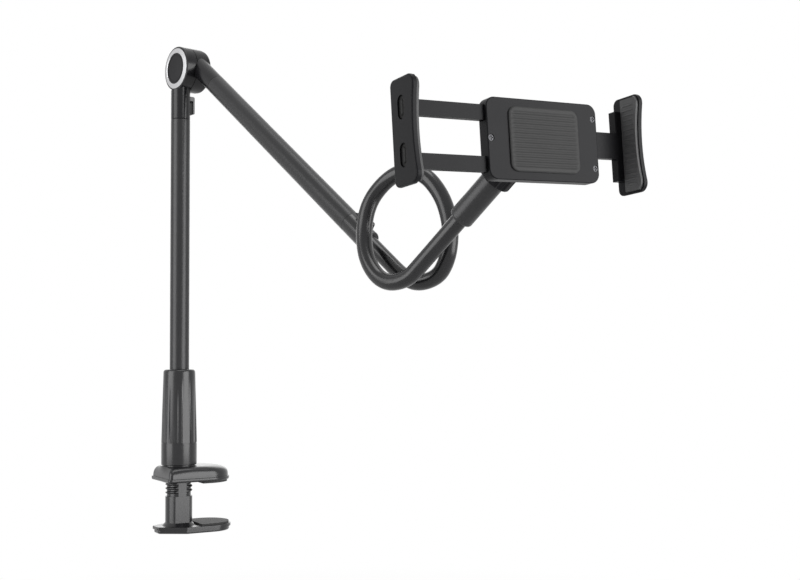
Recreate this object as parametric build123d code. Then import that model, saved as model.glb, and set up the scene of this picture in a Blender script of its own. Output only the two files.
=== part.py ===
"""Desk-clamp holder: clamp, swivelling pole, elbow, arm, looped gooseneck and a spring grip.

Millimetres. +Z is up and +X is the way the jaws reach over the desk. The origin is the middle of
the lower jaw's pad, where the underside of the desk sits.
"""
from build123d import *
import os
from math import cos, radians, sin, tan

# Fits
RUNNING = 0.08           # radial gap of a shaft that turns in its hole
PLUG_FIT = 0.05          # radial gap of a plug in its tube
SLIDING = 0.3            # gap round a part that slides
SEAT_GAP = 0.3           # gap between parts that move past each other
FACE_GAP = 0.05          # between flat faces that turn on each other
FINGER_FILLET = 1.2      # rounding of the edges a hand meets
SEAM_CHAMFER = 0.4       # of the two edges at a seam between tubes

# Desk clamp
POST_SETBACK = 26.0      # from the pad's middle back to the post's axis
CLAMP_GAP = 33.4         # between the two pads as shown
PAD_THICKNESS = 1.6
UPPER_JAW_BACK = 16.5    # from the post's axis to the jaw's flat back
UPPER_TIP_CENTRE = 19.2  # from the post's axis to the centre of the round tip
UPPER_JAW_WIDTH = 47.0
UPPER_TIER_HEIGHT = 6.4
UPPER_JAW_HEIGHT = 12.4
UPPER_TIER_INSET = 1.4
UPPER_DOME = 5.2         # rounding of the upper tier's edge
LOWER_JAW_BACK = 20.5
LOWER_TIP_CENTRE = 24.4
LOWER_JAW_WIDTH = 40.0
LOWER_BACK_WIDTH = 13.0  # of the flat left where the back tapers
LOWER_TAPER_START = 0.5  # from the post's axis to where the back begins to taper
LOWER_BODY_INSET = 1.2
LOWER_RIM_HEIGHT = 2.4
LOWER_JAW_HEIGHT = 5.6
PAD_INSET = 1.6
JAW_CORNER = 3.0
POST_DIA = 22.1
POST_ACROSS_FLATS = 18.5
THREAD_ROOT_DIA = 19.7
THREAD_START = 22.4      # height above the pad where the thread begins
POST_TOP = 96.4
POST_FLARE = 2.4
SOCKET_FLOOR = 49.4      # floor of the pole's socket in the post

# Grip nut
NUT_HEIGHT = 79.0
NUT_TOP_DIA = 26.1
NUT_COLLAR_DIA = 29.2
NUT_COLLAR_HEIGHT = 17.6
NUT_ROOF = 5.0
NUT_TOP_ROUND = 2.4
FLUTE_COUNT = 8
FLUTE_RADIUS = 6.5
FLUTE_DEPTH = 1.5
FLUTE_FADE = 9.0         # below the nut's top, where the flutes run out
WASHER_THICKNESS = 0.8

# Tubes
TUBE_DIA = 16.0
TUBE_WALL = 1.5
NECK_LENGTH = 43.4       # from the elbow's pivot to the seam of pole and arm
SPIGOT_LENGTH = 16.0
FOOT_FLANGE = 2.0

# Elbow
ELBOW_HEIGHT = 381.1
SWIVEL_ANGLE = 11.45     # of the elbow's axis from +X
ARM_DROP = 36.5          # of the arm below the horizontal
HUB_RADIUS = 18.5
HUB_EDGE = 0.8
POLE_HUB_NEAR = -4.7     # along the elbow's axis from the pole's axis
POLE_HUB_FAR = 5.0
FRICTION_WASHER = 0.5
FRICTION_WASHER_RADIUS = 13.0
ARM_HUB_THICKNESS = 10.0
ARM_OFFSET = 8.2         # the arm's axis runs this far above the pivot
TRIM_OUTER = 16.65
TRIM_INNER = 12.1
TRIM_THICKNESS = 1.5
CAP_SINK = 0.5           # the cap's face lies below the trim ring's
BOLT_DIA = 6.0
BOLT_HEAD_DIA = 10.0
BOLT_HEAD_HEIGHT = 3.9
ELBOW_NUT_HEIGHT = 2.2
ELBOW_NUT_ACROSS = 10.0
FAR_CAP_RADIUS = 18.0
FAR_CAP_THICKNESS = 3.3

# Cable clips
CLIP_START = 23.0        # from the pivot, or from the arm's mouth
CLIP_LENGTH = 15.0
CLIP_WIDTH = 7.6
CLIP_STAND = 3.5         # height of the clip's back above the tube
CLIP_PLATE = 1.5
CLIP_FOOT = 3.6
CLIP_STEM_DIA = 3.0
CLIP_STEM_DEPTH = 2.0
ARM_CLIP_START = 6.0

# Arm
ARM_SEAM = 262.0         # from the pivot to the seam before the gooseneck's socket
ARM_MOUTH = 287.0
GOOSENECK_SEAT = 19.0    # length of gooseneck held in the socket

# Gooseneck: the bends of its centre line, from the arm's mouth, along the arm, towards its
# underside and along the elbow's axis
GOOSENECK_DIA = 11.0
GOOSENECK_BORE = 6.0
GOOSENECK_ROUTE = [
    (42.6, 0.0, 0.0),
    (58.5, -3.7, -0.4),
    (68.4, -15.9, 4.5),
    (70.7, -30.4, 3.0),
    (65.1, -42.8, 3.5),
    (54.5, -52.4, 5.5),
    (37.5, -61.3, 6.3),
    (17.7, -65.8, 3.2),
    (1.7, -58.3, -1.0),
    (-5.6, -44.5, -5.2),
    (-3.8, -27.5, -12.3),
    (9.0, -10.2, -16.8),
    (29.2, -0.1, -21.7),
    (51.1, 1.7, -21.6),
    (66.3, -11.1, -18.7),
]
BALL_POSITION = (91.7, -124.6, -3.8)   # same axes as the route

# Ball joint, along the gooseneck's end from the ball's centre
FERRULE_DIA = 16.0
FERRULE_START = -61.0
FERRULE_SHOULDER = -27.0
FERRULE_ROUND = 2.0
FERRULE_BORE_DEPTH = 18.0
SPIGOT_DIA = 14.6
CUP_RIM = -5.0
BALL_RADIUS = 8.0
STUD_DIA = 5.2
SEAT_RADIUS = 9.4
SEAT_RIM = 2.0
LOCK_NUT_RADIUS = 11.0
LOCK_NUT_MOUTH_RADIUS = 10.4
LOCK_NUT_RIM = 3.4
LOCK_NUT_OPENING = 7.55
LOCK_NUT_RIBS = 12

# Grip, in its own frame: x along the device, y up, z out of the front, from the ball
HOLDER_ROLL = 2.0
HOLDER_PITCH = 2.0       # leaning back
BOSS_BACK = 11.0
BOSS_RADIUS = 14.0
BOSS_HEIGHT = 2.2
STUD_FLANGE_DIA = 15.0
STUD_FLANGE_THICKNESS = 1.8
HOUSING_LENGTH = 80.0
HOUSING_WIDTH = 48.0
HOUSING_FLOOR = 2.4
HOUSING_END_WALL = 5.0
RAIL_THICKNESS = 4.0
CENTRE_RAIL_WIDTH = 16.0
SIDE_RAIL_WIDTH = 9.0
SIDE_RAIL_OFFSET = 15.0
RAIL_LENGTH = 77.0       # from the gripping face to the rail's inner end
COVER_THICKNESS = 2.2
REST_PAD_THICKNESS = 1.2
REST_PAD_INSET = 5.0
REST_PAD_CORNER = 5.0
DEVICE_SPACE = 9.4       # between the rest pad and the lips
LEFT_REACH = 93.4        # from the ball to the left pad's gripping face
RIGHT_REACH = 61.5
JAW_HEIGHT = 60.0
JAW_WALL = 2.4
JAW_PAD = 1.5
JAW_TAIL = 3.4           # jaw behind the rails' back face
JAW_LIP = 3.8
JAW_LIP_REACH = 2.7      # lip in front of the device, from the wall's inner face
JAW_SHELL_LIP = 0.8
JAW_WAIST = 2.4          # hollow of the lip's front edge
JAW_TOP_ROUND = 6.5
JAW_BACK_ROUND = 4.0
JAW_FOOT = 4.5
PAD_PLUG_LENGTH = 11.7
PAD_PLUG_WIDTH = 5.6
PAD_SLOT_MARGIN = 0.9
PAD_SLOT_OFFSET = 13.2
SPRING_DIA = 4.2
SPRING_WIRE = 0.9
SPRING_LEG = 3.0         # shortest straight end of a spring
SPRING_PEG_DIA = 2.2
SCREW_DIA = 2.2
SCREW_HEAD_DIA = 4.0
SCREW_HEAD_HEIGHT = 1.3
SCREW_HEAD_SINK = 0.3
HOUSING_CORNER = 6.0

# Heights and frames that follow from the sizes
UPPER_PAD_FACE = CLAMP_GAP
UPPER_JAW_BASE = UPPER_PAD_FACE + PAD_THICKNESS
UPPER_JAW_TOP = UPPER_JAW_BASE + UPPER_JAW_HEIGHT
NUT_BASE = UPPER_JAW_TOP + WASHER_THICKNESS
NUT_TOP = NUT_BASE + NUT_HEIGHT
ARM_HUB_NEAR = POLE_HUB_FAR + FRICTION_WASHER
ARM_HUB_FAR = ARM_HUB_NEAR + ARM_HUB_THICKNESS
ARM_PLANE = (ARM_HUB_NEAR + ARM_HUB_FAR) / 2
FAR_WASHER_END = ARM_HUB_FAR + FRICTION_WASHER
TUBE_BORE = TUBE_DIA - 2 * TUBE_WALL
PLUG_DIA = TUBE_BORE - 2 * PLUG_FIT
CAP_FACE = POLE_HUB_NEAR + CAP_SINK
RECESS_FLOOR = POLE_HUB_NEAR + TRIM_THICKNESS + CAP_SINK

POST_AXIS = Vector(-POST_SETBACK, 0, 0)
PIVOT = POST_AXIS + Vector(0, 0, ELBOW_HEIGHT)
ELBOW_AXIS = Vector(cos(radians(SWIVEL_ANGLE)), sin(radians(SWIVEL_ANGLE)), 0)
ARM_HEADING = Vector(sin(radians(SWIVEL_ANGLE)), -cos(radians(SWIVEL_ANGLE)), 0)
ARM_DIRECTION = ARM_HEADING * cos(radians(ARM_DROP)) - Vector(0, 0, sin(radians(ARM_DROP)))
ELBOW = Plane(PIVOT, x_dir=ARM_HEADING * -1, z_dir=ELBOW_AXIS)
ARM = Plane(PIVOT, x_dir=ARM_DIRECTION, z_dir=ELBOW_AXIS)
MOUTH = Plane(ARM.from_local_coords(Vector(ARM_MOUTH, -ARM_OFFSET, ARM_PLANE)),
              x_dir=ARM_DIRECTION, z_dir=ELBOW_AXIS)
BALL = MOUTH.from_local_coords(Vector(*BALL_POSITION))
END_DIRECTION = (BALL - MOUTH.from_local_coords(Vector(*GOOSENECK_ROUTE[-1]))).normalized()
NECK_END = Plane(BALL, z_dir=END_DIRECTION)
HOLDER_FACING = Vector(0, -cos(radians(HOLDER_PITCH)), sin(radians(HOLDER_PITCH)))
HOLDER_LEVEL_UP = Vector(0, sin(radians(HOLDER_PITCH)), cos(radians(HOLDER_PITCH)))
DEVICE_ACROSS = Vector(cos(radians(HOLDER_ROLL)), 0, 0) + HOLDER_LEVEL_UP * sin(radians(HOLDER_ROLL))
HOLDER = Plane(BALL, x_dir=DEVICE_ACROSS, z_dir=HOLDER_FACING)

HOUSING_BACK = BOSS_BACK + BOSS_HEIGHT
CHANNEL_FLOOR = HOUSING_BACK + HOUSING_FLOOR
RAIL_BACK = CHANNEL_FLOOR + SLIDING
RAIL_FRONT = RAIL_BACK + RAIL_THICKNESS
COVER_BACK = RAIL_FRONT + SLIDING
COVER_FRONT = COVER_BACK + COVER_THICKNESS
REST_FACE = COVER_FRONT + REST_PAD_THICKNESS
LIP_BACK = REST_FACE + DEVICE_SPACE
JAW_FRONT = LIP_BACK + JAW_LIP
JAW_BACK_EDGE = RAIL_BACK - JAW_TAIL
PAD_SLOT_DEPTH = RAIL_FRONT + SLIDING + PAD_PLUG_WIDTH / 2 + PAD_SLOT_MARGIN


def put(plane, solid):
    """A solid drawn in a local frame, set in its place."""
    return plane.location * solid


def disc(radius, low, high):
    """A cylinder about local Z from one height to another."""
    return Pos(0, 0, low) * Cylinder(radius, high - low, align=(Align.CENTER, Align.CENTER, Align.MIN))


def rod_x(radius, low, high, y=0.0, z=0.0):
    """A cylinder along local X."""
    return Pos(low, y, z) * Rot(0, 90, 0) * disc(radius, 0, high - low)


def block(x, y, z):
    """A box from three (low, high) pairs."""
    size = [pair[1] - pair[0] for pair in (x, y, z)]
    return Pos(x[0], y[0], z[0]) * Box(*size, align=(Align.MIN, Align.MIN, Align.MIN))


# Desk clamp

def upper_plan(inset=0.0):
    """Plan of the upper jaw about the post: flat back, straight sides and a half-round tip."""
    half = UPPER_JAW_WIDTH / 2 - inset
    back = inset - UPPER_JAW_BACK
    tip = UPPER_TIP_CENTRE
    outline = [
        Line((back, -half), (tip, -half)),
        ThreePointArc((tip, -half), (tip + half, 0), (tip, half)),
        Line((tip, half), (back, half)),
        Line((back, half), (back, -half)),
    ]
    plan = make_face(outline)
    return fillet(plan.vertices().group_by(Axis.X)[0], JAW_CORNER)


def lower_plan(inset=0.0):
    """Plan of the lower jaw about the post: a back that tapers, straight sides and a half-round tip."""
    half = LOWER_JAW_WIDTH / 2 - inset
    back = inset - LOWER_JAW_BACK
    back_half = LOWER_BACK_WIDTH / 2 - inset / 2
    tip = LOWER_TIP_CENTRE
    outline = [
        Line((back, -back_half), (LOWER_TAPER_START, -half)),
        Line((LOWER_TAPER_START, -half), (tip, -half)),
        ThreePointArc((tip, -half), (tip + half, 0), (tip, half)),
        Line((tip, half), (LOWER_TAPER_START, half)),
        Line((LOWER_TAPER_START, half), (back, back_half)),
        Line((back, back_half), (back, -back_half)),
    ]
    plan = make_face(outline)
    return fillet(plan.vertices().group_by(Axis.X)[0], JAW_CORNER)


def upper_layer(low, high, inset=0.0):
    """A layer of the upper jaw."""
    return Pos(POST_AXIS.X, 0, low) * extrude(upper_plan(inset), high - low)


def lower_layer(low, high, inset=0.0):
    """A layer of the lower jaw."""
    return Pos(POST_AXIS.X, 0, low) * extrude(lower_plan(inset), high - low)


def flatted_post(diameter, across, low, high):
    """A round bar with two flats, facing +Y and -Y."""
    bar = disc(diameter / 2, low, high)
    flats = block((-diameter, diameter), (-across / 2, across / 2), (low, high))
    return Pos(POST_AXIS.X, 0, 0) * (bar & flats)


def top_edges(solid):
    return solid.faces().sort_by(Axis.Z)[-1].outer_wire().edges()


def bottom_edges(solid):
    return solid.faces().sort_by(Axis.Z)[0].outer_wire().edges()


def make_lower_jaw():
    """Lower jaw and threaded post, one casting, with the pole's socket in the post."""
    rim_top = -PAD_THICKNESS
    rim_base = rim_top - LOWER_RIM_HEIGHT
    rim = lower_layer(rim_base, rim_top)
    rim = fillet(top_edges(rim), LOWER_RIM_HEIGHT / 4)
    body = lower_layer(rim_top - LOWER_JAW_HEIGHT, rim_base, LOWER_BODY_INSET)
    body = fillet(bottom_edges(body), FINGER_FILLET)
    flare = Cone(POST_DIA / 2 + POST_FLARE, POST_DIA / 2, POST_FLARE,
                 align=(Align.CENTER, Align.CENTER, Align.MIN))
    flare = Pos(POST_AXIS.X, 0, rim_top) * flare
    flare &= lower_layer(rim_top, rim_top + POST_FLARE, inset=FINGER_FILLET)
    post = flatted_post(POST_DIA, POST_ACROSS_FLATS, rim_top, THREAD_START)
    neck = flatted_post(THREAD_ROOT_DIA, POST_ACROSS_FLATS, THREAD_START, POST_TOP)
    socket = Pos(POST_AXIS.X, 0, 0) * disc(TUBE_DIA / 2 + RUNNING, SOCKET_FLOOR, POST_TOP)
    return rim + body + flare + post + neck - socket


def pad_room(low, high):
    """Where a pad may lie: in front of the post and its flare."""
    reach = 2 * UPPER_JAW_WIDTH
    return block((POST_AXIS.X + POST_DIA / 2 + POST_FLARE, reach), (-reach, reach), (low, high))


def make_lower_pad():
    """Rubber pad in front of the post."""
    return lower_layer(-PAD_THICKNESS, 0, PAD_INSET) & pad_room(-PAD_THICKNESS, 0)


def make_upper_jaw():
    """Upper jaw: a stepped plate with a boss for the nut and a keyed hole for the post."""
    step = UPPER_JAW_BASE + UPPER_TIER_HEIGHT
    lower = upper_layer(UPPER_JAW_BASE, step)
    lower = fillet(top_edges(lower), UPPER_TIER_INSET * 0.7)
    lower = fillet(bottom_edges(lower), FINGER_FILLET)
    upper = upper_layer(step, UPPER_JAW_TOP, UPPER_TIER_INSET)
    upper = fillet(top_edges(upper), UPPER_DOME)
    boss = Pos(POST_AXIS.X, 0, 0) * disc(NUT_COLLAR_DIA / 2, step, UPPER_JAW_TOP)
    boss &= upper_layer(step, UPPER_JAW_TOP, UPPER_TIER_INSET)
    hole = flatted_post(POST_DIA + 2 * SLIDING, POST_ACROSS_FLATS + 2 * SLIDING,
                        UPPER_JAW_BASE, UPPER_JAW_TOP)
    return lower + upper + boss - hole


def make_upper_pad():
    """Rubber pad under the upper jaw, in front of the post."""
    pad = upper_layer(UPPER_PAD_FACE, UPPER_JAW_BASE, PAD_INSET)
    return pad & pad_room(UPPER_PAD_FACE, UPPER_JAW_BASE)


def make_thrust_washer():
    """Slip washer between the upper jaw and the grip nut."""
    ring = disc(NUT_COLLAR_DIA / 2 - FINGER_FILLET, UPPER_JAW_TOP, NUT_BASE - FACE_GAP)
    ring -= disc(POST_DIA / 2 + SLIDING, UPPER_JAW_TOP, NUT_BASE)
    return Pos(POST_AXIS.X, 0, 0) * ring


def make_grip_nut():
    """Long tapered grip nut with flutes that deepen down to a plain collar."""
    collar_top = NUT_BASE + NUT_COLLAR_HEIGHT
    outer = make_face(Polyline(
        (0, NUT_BASE), (NUT_COLLAR_DIA / 2, NUT_BASE), (NUT_COLLAR_DIA / 2, collar_top),
        (NUT_TOP_DIA / 2, NUT_TOP), (0, NUT_TOP), close=True))
    body = revolve(Plane.XZ * outer, Axis.Z)
    body = fillet(top_edges(body), NUT_TOP_ROUND)
    flute_top = NUT_TOP - FLUTE_FADE
    run = flute_top - collar_top
    slope = (NUT_COLLAR_DIA - NUT_TOP_DIA) / 2 / (NUT_TOP - collar_top)
    foot = NUT_COLLAR_DIA / 2 + FLUTE_RADIUS - FLUTE_DEPTH
    head = NUT_COLLAR_DIA / 2 - slope * run + FLUTE_RADIUS
    lean = Vector(head - foot, 0, run)
    flute = extrude(Pos(foot, 0, collar_top) * Circle(FLUTE_RADIUS), lean.length, dir=lean)
    for index in range(FLUTE_COUNT):
        body -= Rot(0, 0, 360 / FLUTE_COUNT * index) * flute
    bore = disc(POST_DIA / 2 + SLIDING, NUT_BASE, NUT_TOP - NUT_ROOF)
    mouth = disc(TUBE_DIA / 2 + SEAT_GAP, NUT_TOP - NUT_ROOF, NUT_TOP)
    return Pos(POST_AXIS.X, 0, 0) * (body - bore - mouth)


# Pole and elbow

def make_pole_tube():
    bottom = SOCKET_FLOOR + FOOT_FLANGE
    top = ELBOW_HEIGHT - NECK_LENGTH
    tube = disc(TUBE_DIA / 2, bottom, top)
    tube = chamfer(tube.edges().filter_by(GeomType.CIRCLE).sort_by(Axis.Z)[-1], SEAM_CHAMFER)
    return Pos(POST_AXIS.X, 0, 0) * (tube - disc(TUBE_BORE / 2, bottom, top))


def make_pole_foot():
    """End plug that the pole turns on."""
    flange = disc(TUBE_DIA / 2, SOCKET_FLOOR, SOCKET_FLOOR + FOOT_FLANGE)
    spigot = disc(PLUG_DIA / 2, SOCKET_FLOOR + FOOT_FLANGE, SOCKET_FLOOR + SPIGOT_LENGTH)
    return Pos(POST_AXIS.X, 0, 0) * (flange + spigot)


def hub_clearance(low, high):
    """What a neck gives up so that it stays clear of the hub beside it."""
    return disc(HUB_RADIUS + SEAT_GAP, low, high)


def clip_stem(along, fit=0.0):
    """Stem of a clip on a neck along local X, or with a fit its hole."""
    return Pos(along + CLIP_FOOT / 2, 0, TUBE_DIA / 2 - CLIP_STEM_DEPTH) * disc(
        CLIP_STEM_DIA / 2 + fit, 0, CLIP_STEM_DEPTH + CLIP_STAND / 2)


def make_clip(along):
    """Cable clip on a neck along local X: a stem, a foot and a springy back, open at one end."""
    back_top = TUBE_DIA / 2 + CLIP_STAND
    foot = block((along, along + CLIP_FOOT), (-CLIP_WIDTH / 2, CLIP_WIDTH / 2), (0, back_top))
    plate = block((along, along + CLIP_LENGTH), (-CLIP_WIDTH / 2, CLIP_WIDTH / 2),
                  (back_top - CLIP_PLATE, back_top))
    clip = foot + plate
    clip = fillet(clip.edges().filter_by(Axis.Y).group_by(Axis.Z)[-1], CLIP_PLATE * 0.9)
    clip -= rod_x(TUBE_DIA / 2, along - 1, along + CLIP_LENGTH + 1)
    return clip + clip_stem(along)


# Frames of the two necks, with local X along the neck and local Z out through its clip
POLE_NECK = Plane(PIVOT, x_dir=(0, 0, -1), z_dir=ELBOW_AXIS)
ARM_NECK = Plane(MOUTH.origin, x_dir=ARM_DIRECTION * -1, z_dir=ARM.y_dir * -1)


def seamed_rod(low, high, y=0.0, z=0.0):
    """A rod of the tubes' size along local X, with a chamfer at the seam on its far end."""
    rod = rod_x(TUBE_DIA / 2, low, high, y, z)
    return chamfer(rod.edges().filter_by(GeomType.CIRCLE).sort_by(Axis.X)[-1], SEAM_CHAMFER)


def make_pole_knuckle():
    """Pole's half of the elbow: a hub with a recess for its cap, on a neck that plugs into the pole."""
    hub = disc(HUB_RADIUS, POLE_HUB_NEAR, POLE_HUB_FAR)
    hub = fillet(hub.edges().filter_by(GeomType.CIRCLE).sort_by(Axis.Z)[0], HUB_EDGE)
    down = Rot(0, 0, -90)
    neck = down * seamed_rod(0, NECK_LENGTH)
    neck -= hub_clearance(POLE_HUB_FAR, TUBE_DIA)
    neck -= hub_clearance(-TUBE_DIA, POLE_HUB_NEAR)
    plug = down * rod_x(PLUG_DIA / 2, NECK_LENGTH, NECK_LENGTH + SPIGOT_LENGTH)
    recess = disc(TRIM_OUTER + PLUG_FIT, POLE_HUB_NEAR, RECESS_FLOOR)
    head = disc(BOLT_HEAD_DIA / 2 + SEAT_GAP, RECESS_FLOOR, RECESS_FLOOR + BOLT_HEAD_HEIGHT)
    bore = disc(BOLT_DIA / 2 + RUNNING, RECESS_FLOOR, POLE_HUB_FAR)
    solid = put(ELBOW, hub + neck + plug - recess - head - bore)
    return solid - put(POLE_NECK, clip_stem(CLIP_START, PLUG_FIT))


def make_pole_clip():
    return put(POLE_NECK, make_clip(CLIP_START))


def make_trim_ring():
    """Bright ring round the elbow's cap, bevelled towards its inner edge."""
    near = POLE_HUB_NEAR
    section = make_face(Polyline(
        (TRIM_INNER, near + CAP_SINK), (TRIM_INNER + 1.0, near), (TRIM_OUTER - 0.5, near),
        (TRIM_OUTER, near + 0.5), (TRIM_OUTER, RECESS_FLOOR), (TRIM_INNER, RECESS_FLOOR), close=True))
    return put(ELBOW, revolve(Plane.XZ * section, Axis.Z))


def make_elbow_cap():
    """Flat cap inside the trim ring."""
    return put(ELBOW, disc(TRIM_INNER - PLUG_FIT, CAP_FACE, RECESS_FLOOR))


def make_elbow_bolt():
    """Socket-head bolt through both hubs."""
    head = disc(BOLT_HEAD_DIA / 2, RECESS_FLOOR + SEAT_GAP, RECESS_FLOOR + BOLT_HEAD_HEIGHT)
    shank = disc(BOLT_DIA / 2, RECESS_FLOOR + BOLT_HEAD_HEIGHT, FAR_WASHER_END + ELBOW_NUT_HEIGHT)
    key = Pos(0, 0, RECESS_FLOOR + SEAT_GAP) * extrude(RegularPolygon(BOLT_DIA / 2 * 0.9, 6), 2.0)
    return put(ELBOW, head + shank - key)


def make_friction_washers():
    """A washer each side of the arm's hub."""
    bore = disc(BOLT_DIA / 2 + RUNNING, POLE_HUB_FAR, FAR_WASHER_END)
    near = disc(FRICTION_WASHER_RADIUS, POLE_HUB_FAR, ARM_HUB_NEAR - FACE_GAP) - bore
    far = disc(FRICTION_WASHER_RADIUS, ARM_HUB_FAR + FACE_GAP, FAR_WASHER_END) - bore
    return Compound([put(ELBOW, near), put(ELBOW, far)])


def make_elbow_nut():
    hexagon = RegularPolygon(ELBOW_NUT_ACROSS / 2, 6, major_radius=False)
    nut = Pos(0, 0, FAR_WASHER_END) * extrude(hexagon, ELBOW_NUT_HEIGHT)
    nut -= disc(BOLT_DIA / 2 + PLUG_FIT, FAR_WASHER_END, FAR_WASHER_END + ELBOW_NUT_HEIGHT)
    return put(ELBOW, nut)


def make_far_cap():
    """Cover over the elbow's nut."""
    cap = disc(FAR_CAP_RADIUS, FAR_WASHER_END, FAR_WASHER_END + FAR_CAP_THICKNESS)
    cap = fillet(cap.edges().filter_by(GeomType.CIRCLE).sort_by(Axis.Z)[-1], FAR_CAP_THICKNESS * 0.6)
    room = disc(ELBOW_NUT_ACROSS / 2 * 1.2, 0, ELBOW_NUT_HEIGHT + SEAT_GAP)
    return put(ELBOW, cap - Pos(0, 0, FAR_WASHER_END) * room)


# Arm

def make_arm_knuckle():
    """Arm's half of the elbow: a hub and a neck above its pivot that plugs into the arm."""
    hub = disc(HUB_RADIUS, ARM_HUB_NEAR, ARM_HUB_FAR)
    neck = seamed_rod(0, NECK_LENGTH, -ARM_OFFSET, ARM_PLANE)
    neck -= hub_clearance(ARM_PLANE - TUBE_DIA, ARM_HUB_NEAR)
    neck -= hub_clearance(ARM_HUB_FAR, ARM_PLANE + TUBE_DIA)
    spigot = rod_x(PLUG_DIA / 2, NECK_LENGTH, NECK_LENGTH + SPIGOT_LENGTH, -ARM_OFFSET, ARM_PLANE)
    bore = disc(BOLT_DIA / 2 + RUNNING, ARM_HUB_NEAR, ARM_HUB_FAR)
    return put(ARM, hub + neck + spigot - bore)


def make_arm_tube():
    tube = seamed_rod(NECK_LENGTH, ARM_SEAM, -ARM_OFFSET, ARM_PLANE)
    tube -= rod_x(TUBE_BORE / 2, NECK_LENGTH, ARM_SEAM, -ARM_OFFSET, ARM_PLANE)
    return put(ARM, tube)


def make_gooseneck_socket():
    """Arm's end piece: plugs into the tube and holds the gooseneck."""
    seam = ARM_SEAM - ARM_MOUTH
    sleeve = rod_x(TUBE_DIA / 2, seam, 0)
    sleeve = fillet(sleeve.edges().filter_by(GeomType.CIRCLE).sort_by(Axis.X)[-1], 1.0)
    spigot = rod_x(PLUG_DIA / 2, seam - SPIGOT_LENGTH, seam)
    bore = rod_x(GOOSENECK_DIA / 2 + PLUG_FIT, -GOOSENECK_SEAT, 0)
    solid = put(MOUTH, sleeve + spigot - bore)
    return solid - put(ARM_NECK, clip_stem(ARM_CLIP_START, PLUG_FIT))


def make_arm_clip():
    return put(ARM_NECK, make_clip(ARM_CLIP_START))


def gooseneck_path():
    """Centre line: straight out of the socket, round the loop and straight into the ferrule."""
    start = MOUTH.from_local_coords(Vector(-GOOSENECK_SEAT, 0, 0))
    bends = [MOUTH.from_local_coords(Vector(*point)) for point in GOOSENECK_ROUTE]
    end = BALL + END_DIRECTION * (FERRULE_START + FERRULE_BORE_DEPTH)
    points = [start] + bends + [end]
    radii = []
    for before, corner, after in zip(points, points[1:], points[2:]):
        turn = (corner - before).get_angle(after - corner)
        shorter = min((corner - before).length, (after - corner).length)
        radii.append(0.45 * shorter / tan(radians(turn / 2)))
    return FilletPolyline(*points, radius=radii)


def make_gooseneck():
    path = gooseneck_path()
    section = Plane(path @ 0, z_dir=path % 0) * (Circle(GOOSENECK_DIA / 2) - Circle(GOOSENECK_BORE / 2))
    return sweep(section, path=path)


# Ball joint

def make_ferrule():
    """Gooseneck's end piece, with a threaded spigot and a cup for the ball."""
    body = disc(FERRULE_DIA / 2, FERRULE_START, FERRULE_SHOULDER)
    body = fillet(body.edges().filter_by(GeomType.CIRCLE).sort_by(Axis.Z)[0], FERRULE_ROUND)
    spigot = disc(SPIGOT_DIA / 2, FERRULE_SHOULDER, CUP_RIM)
    bore = disc(GOOSENECK_DIA / 2 + PLUG_FIT, FERRULE_START, FERRULE_START + FERRULE_BORE_DEPTH)
    return put(NECK_END, body + spigot - bore - Sphere(BALL_RADIUS + RUNNING))


def make_ball_seat():
    """Plastic ring that grips the ball inside the lock nut."""
    ring = disc(SEAT_RADIUS, CUP_RIM + SEAT_GAP, SEAT_RIM - FACE_GAP)
    return put(NECK_END, ring - Sphere(BALL_RADIUS + RUNNING))


def make_lock_nut():
    """Ribbed nut that squeezes the seat on to the ball."""
    base = FERRULE_SHOULDER + FACE_GAP
    outer = make_face(Polyline(
        (0, base), (LOCK_NUT_RADIUS, base), (LOCK_NUT_RADIUS, base / 2),
        (LOCK_NUT_MOUTH_RADIUS, LOCK_NUT_RIM), (0, LOCK_NUT_RIM), close=True))
    body = revolve(Plane.XZ * outer, Axis.Z)
    body = fillet(top_edges(body) + bottom_edges(body), 1.0)
    for index in range(LOCK_NUT_RIBS):
        groove = Pos(LOCK_NUT_RADIUS + 0.9, 0, 0) * disc(1.6, FERRULE_SHOULDER, LOCK_NUT_RIM)
        body -= Rot(0, 0, 360 / LOCK_NUT_RIBS * index) * groove
    thread = disc(SPIGOT_DIA / 2 + SEAT_GAP / 2, FERRULE_SHOULDER, CUP_RIM)
    room = disc(SEAT_RADIUS + RUNNING, CUP_RIM, SEAT_RIM)
    opening = disc(LOCK_NUT_OPENING, SEAT_RIM, LOCK_NUT_RIM)
    return put(NECK_END, body - thread - room - opening - Sphere(BALL_RADIUS + SEAT_GAP))


def make_ball_stud():
    """Ball on a stud with a flange that turns in the holder's boss."""
    flange_back = HOUSING_BACK
    ball = Sphere(BALL_RADIUS)
    stud = disc(STUD_DIA / 2, 0, flange_back)
    flange = disc(STUD_FLANGE_DIA / 2, flange_back, flange_back + STUD_FLANGE_THICKNESS)
    return put(HOLDER, ball + stud + flange)


# Grip

def rail_slots():
    """Width, offset and side of each rail's channel: the middle one opens right, the others left."""
    return [(CENTRE_RAIL_WIDTH, 0.0, 1), (SIDE_RAIL_WIDTH, SIDE_RAIL_OFFSET, -1),
            (SIDE_RAIL_WIDTH, -SIDE_RAIL_OFFSET, -1)]


def screw_places():
    """Screws go into the closed ends of the channels."""
    x = (HOUSING_LENGTH - HOUSING_END_WALL) / 2
    return [(-side * x, offset) for width, offset, side in rail_slots()]


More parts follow.
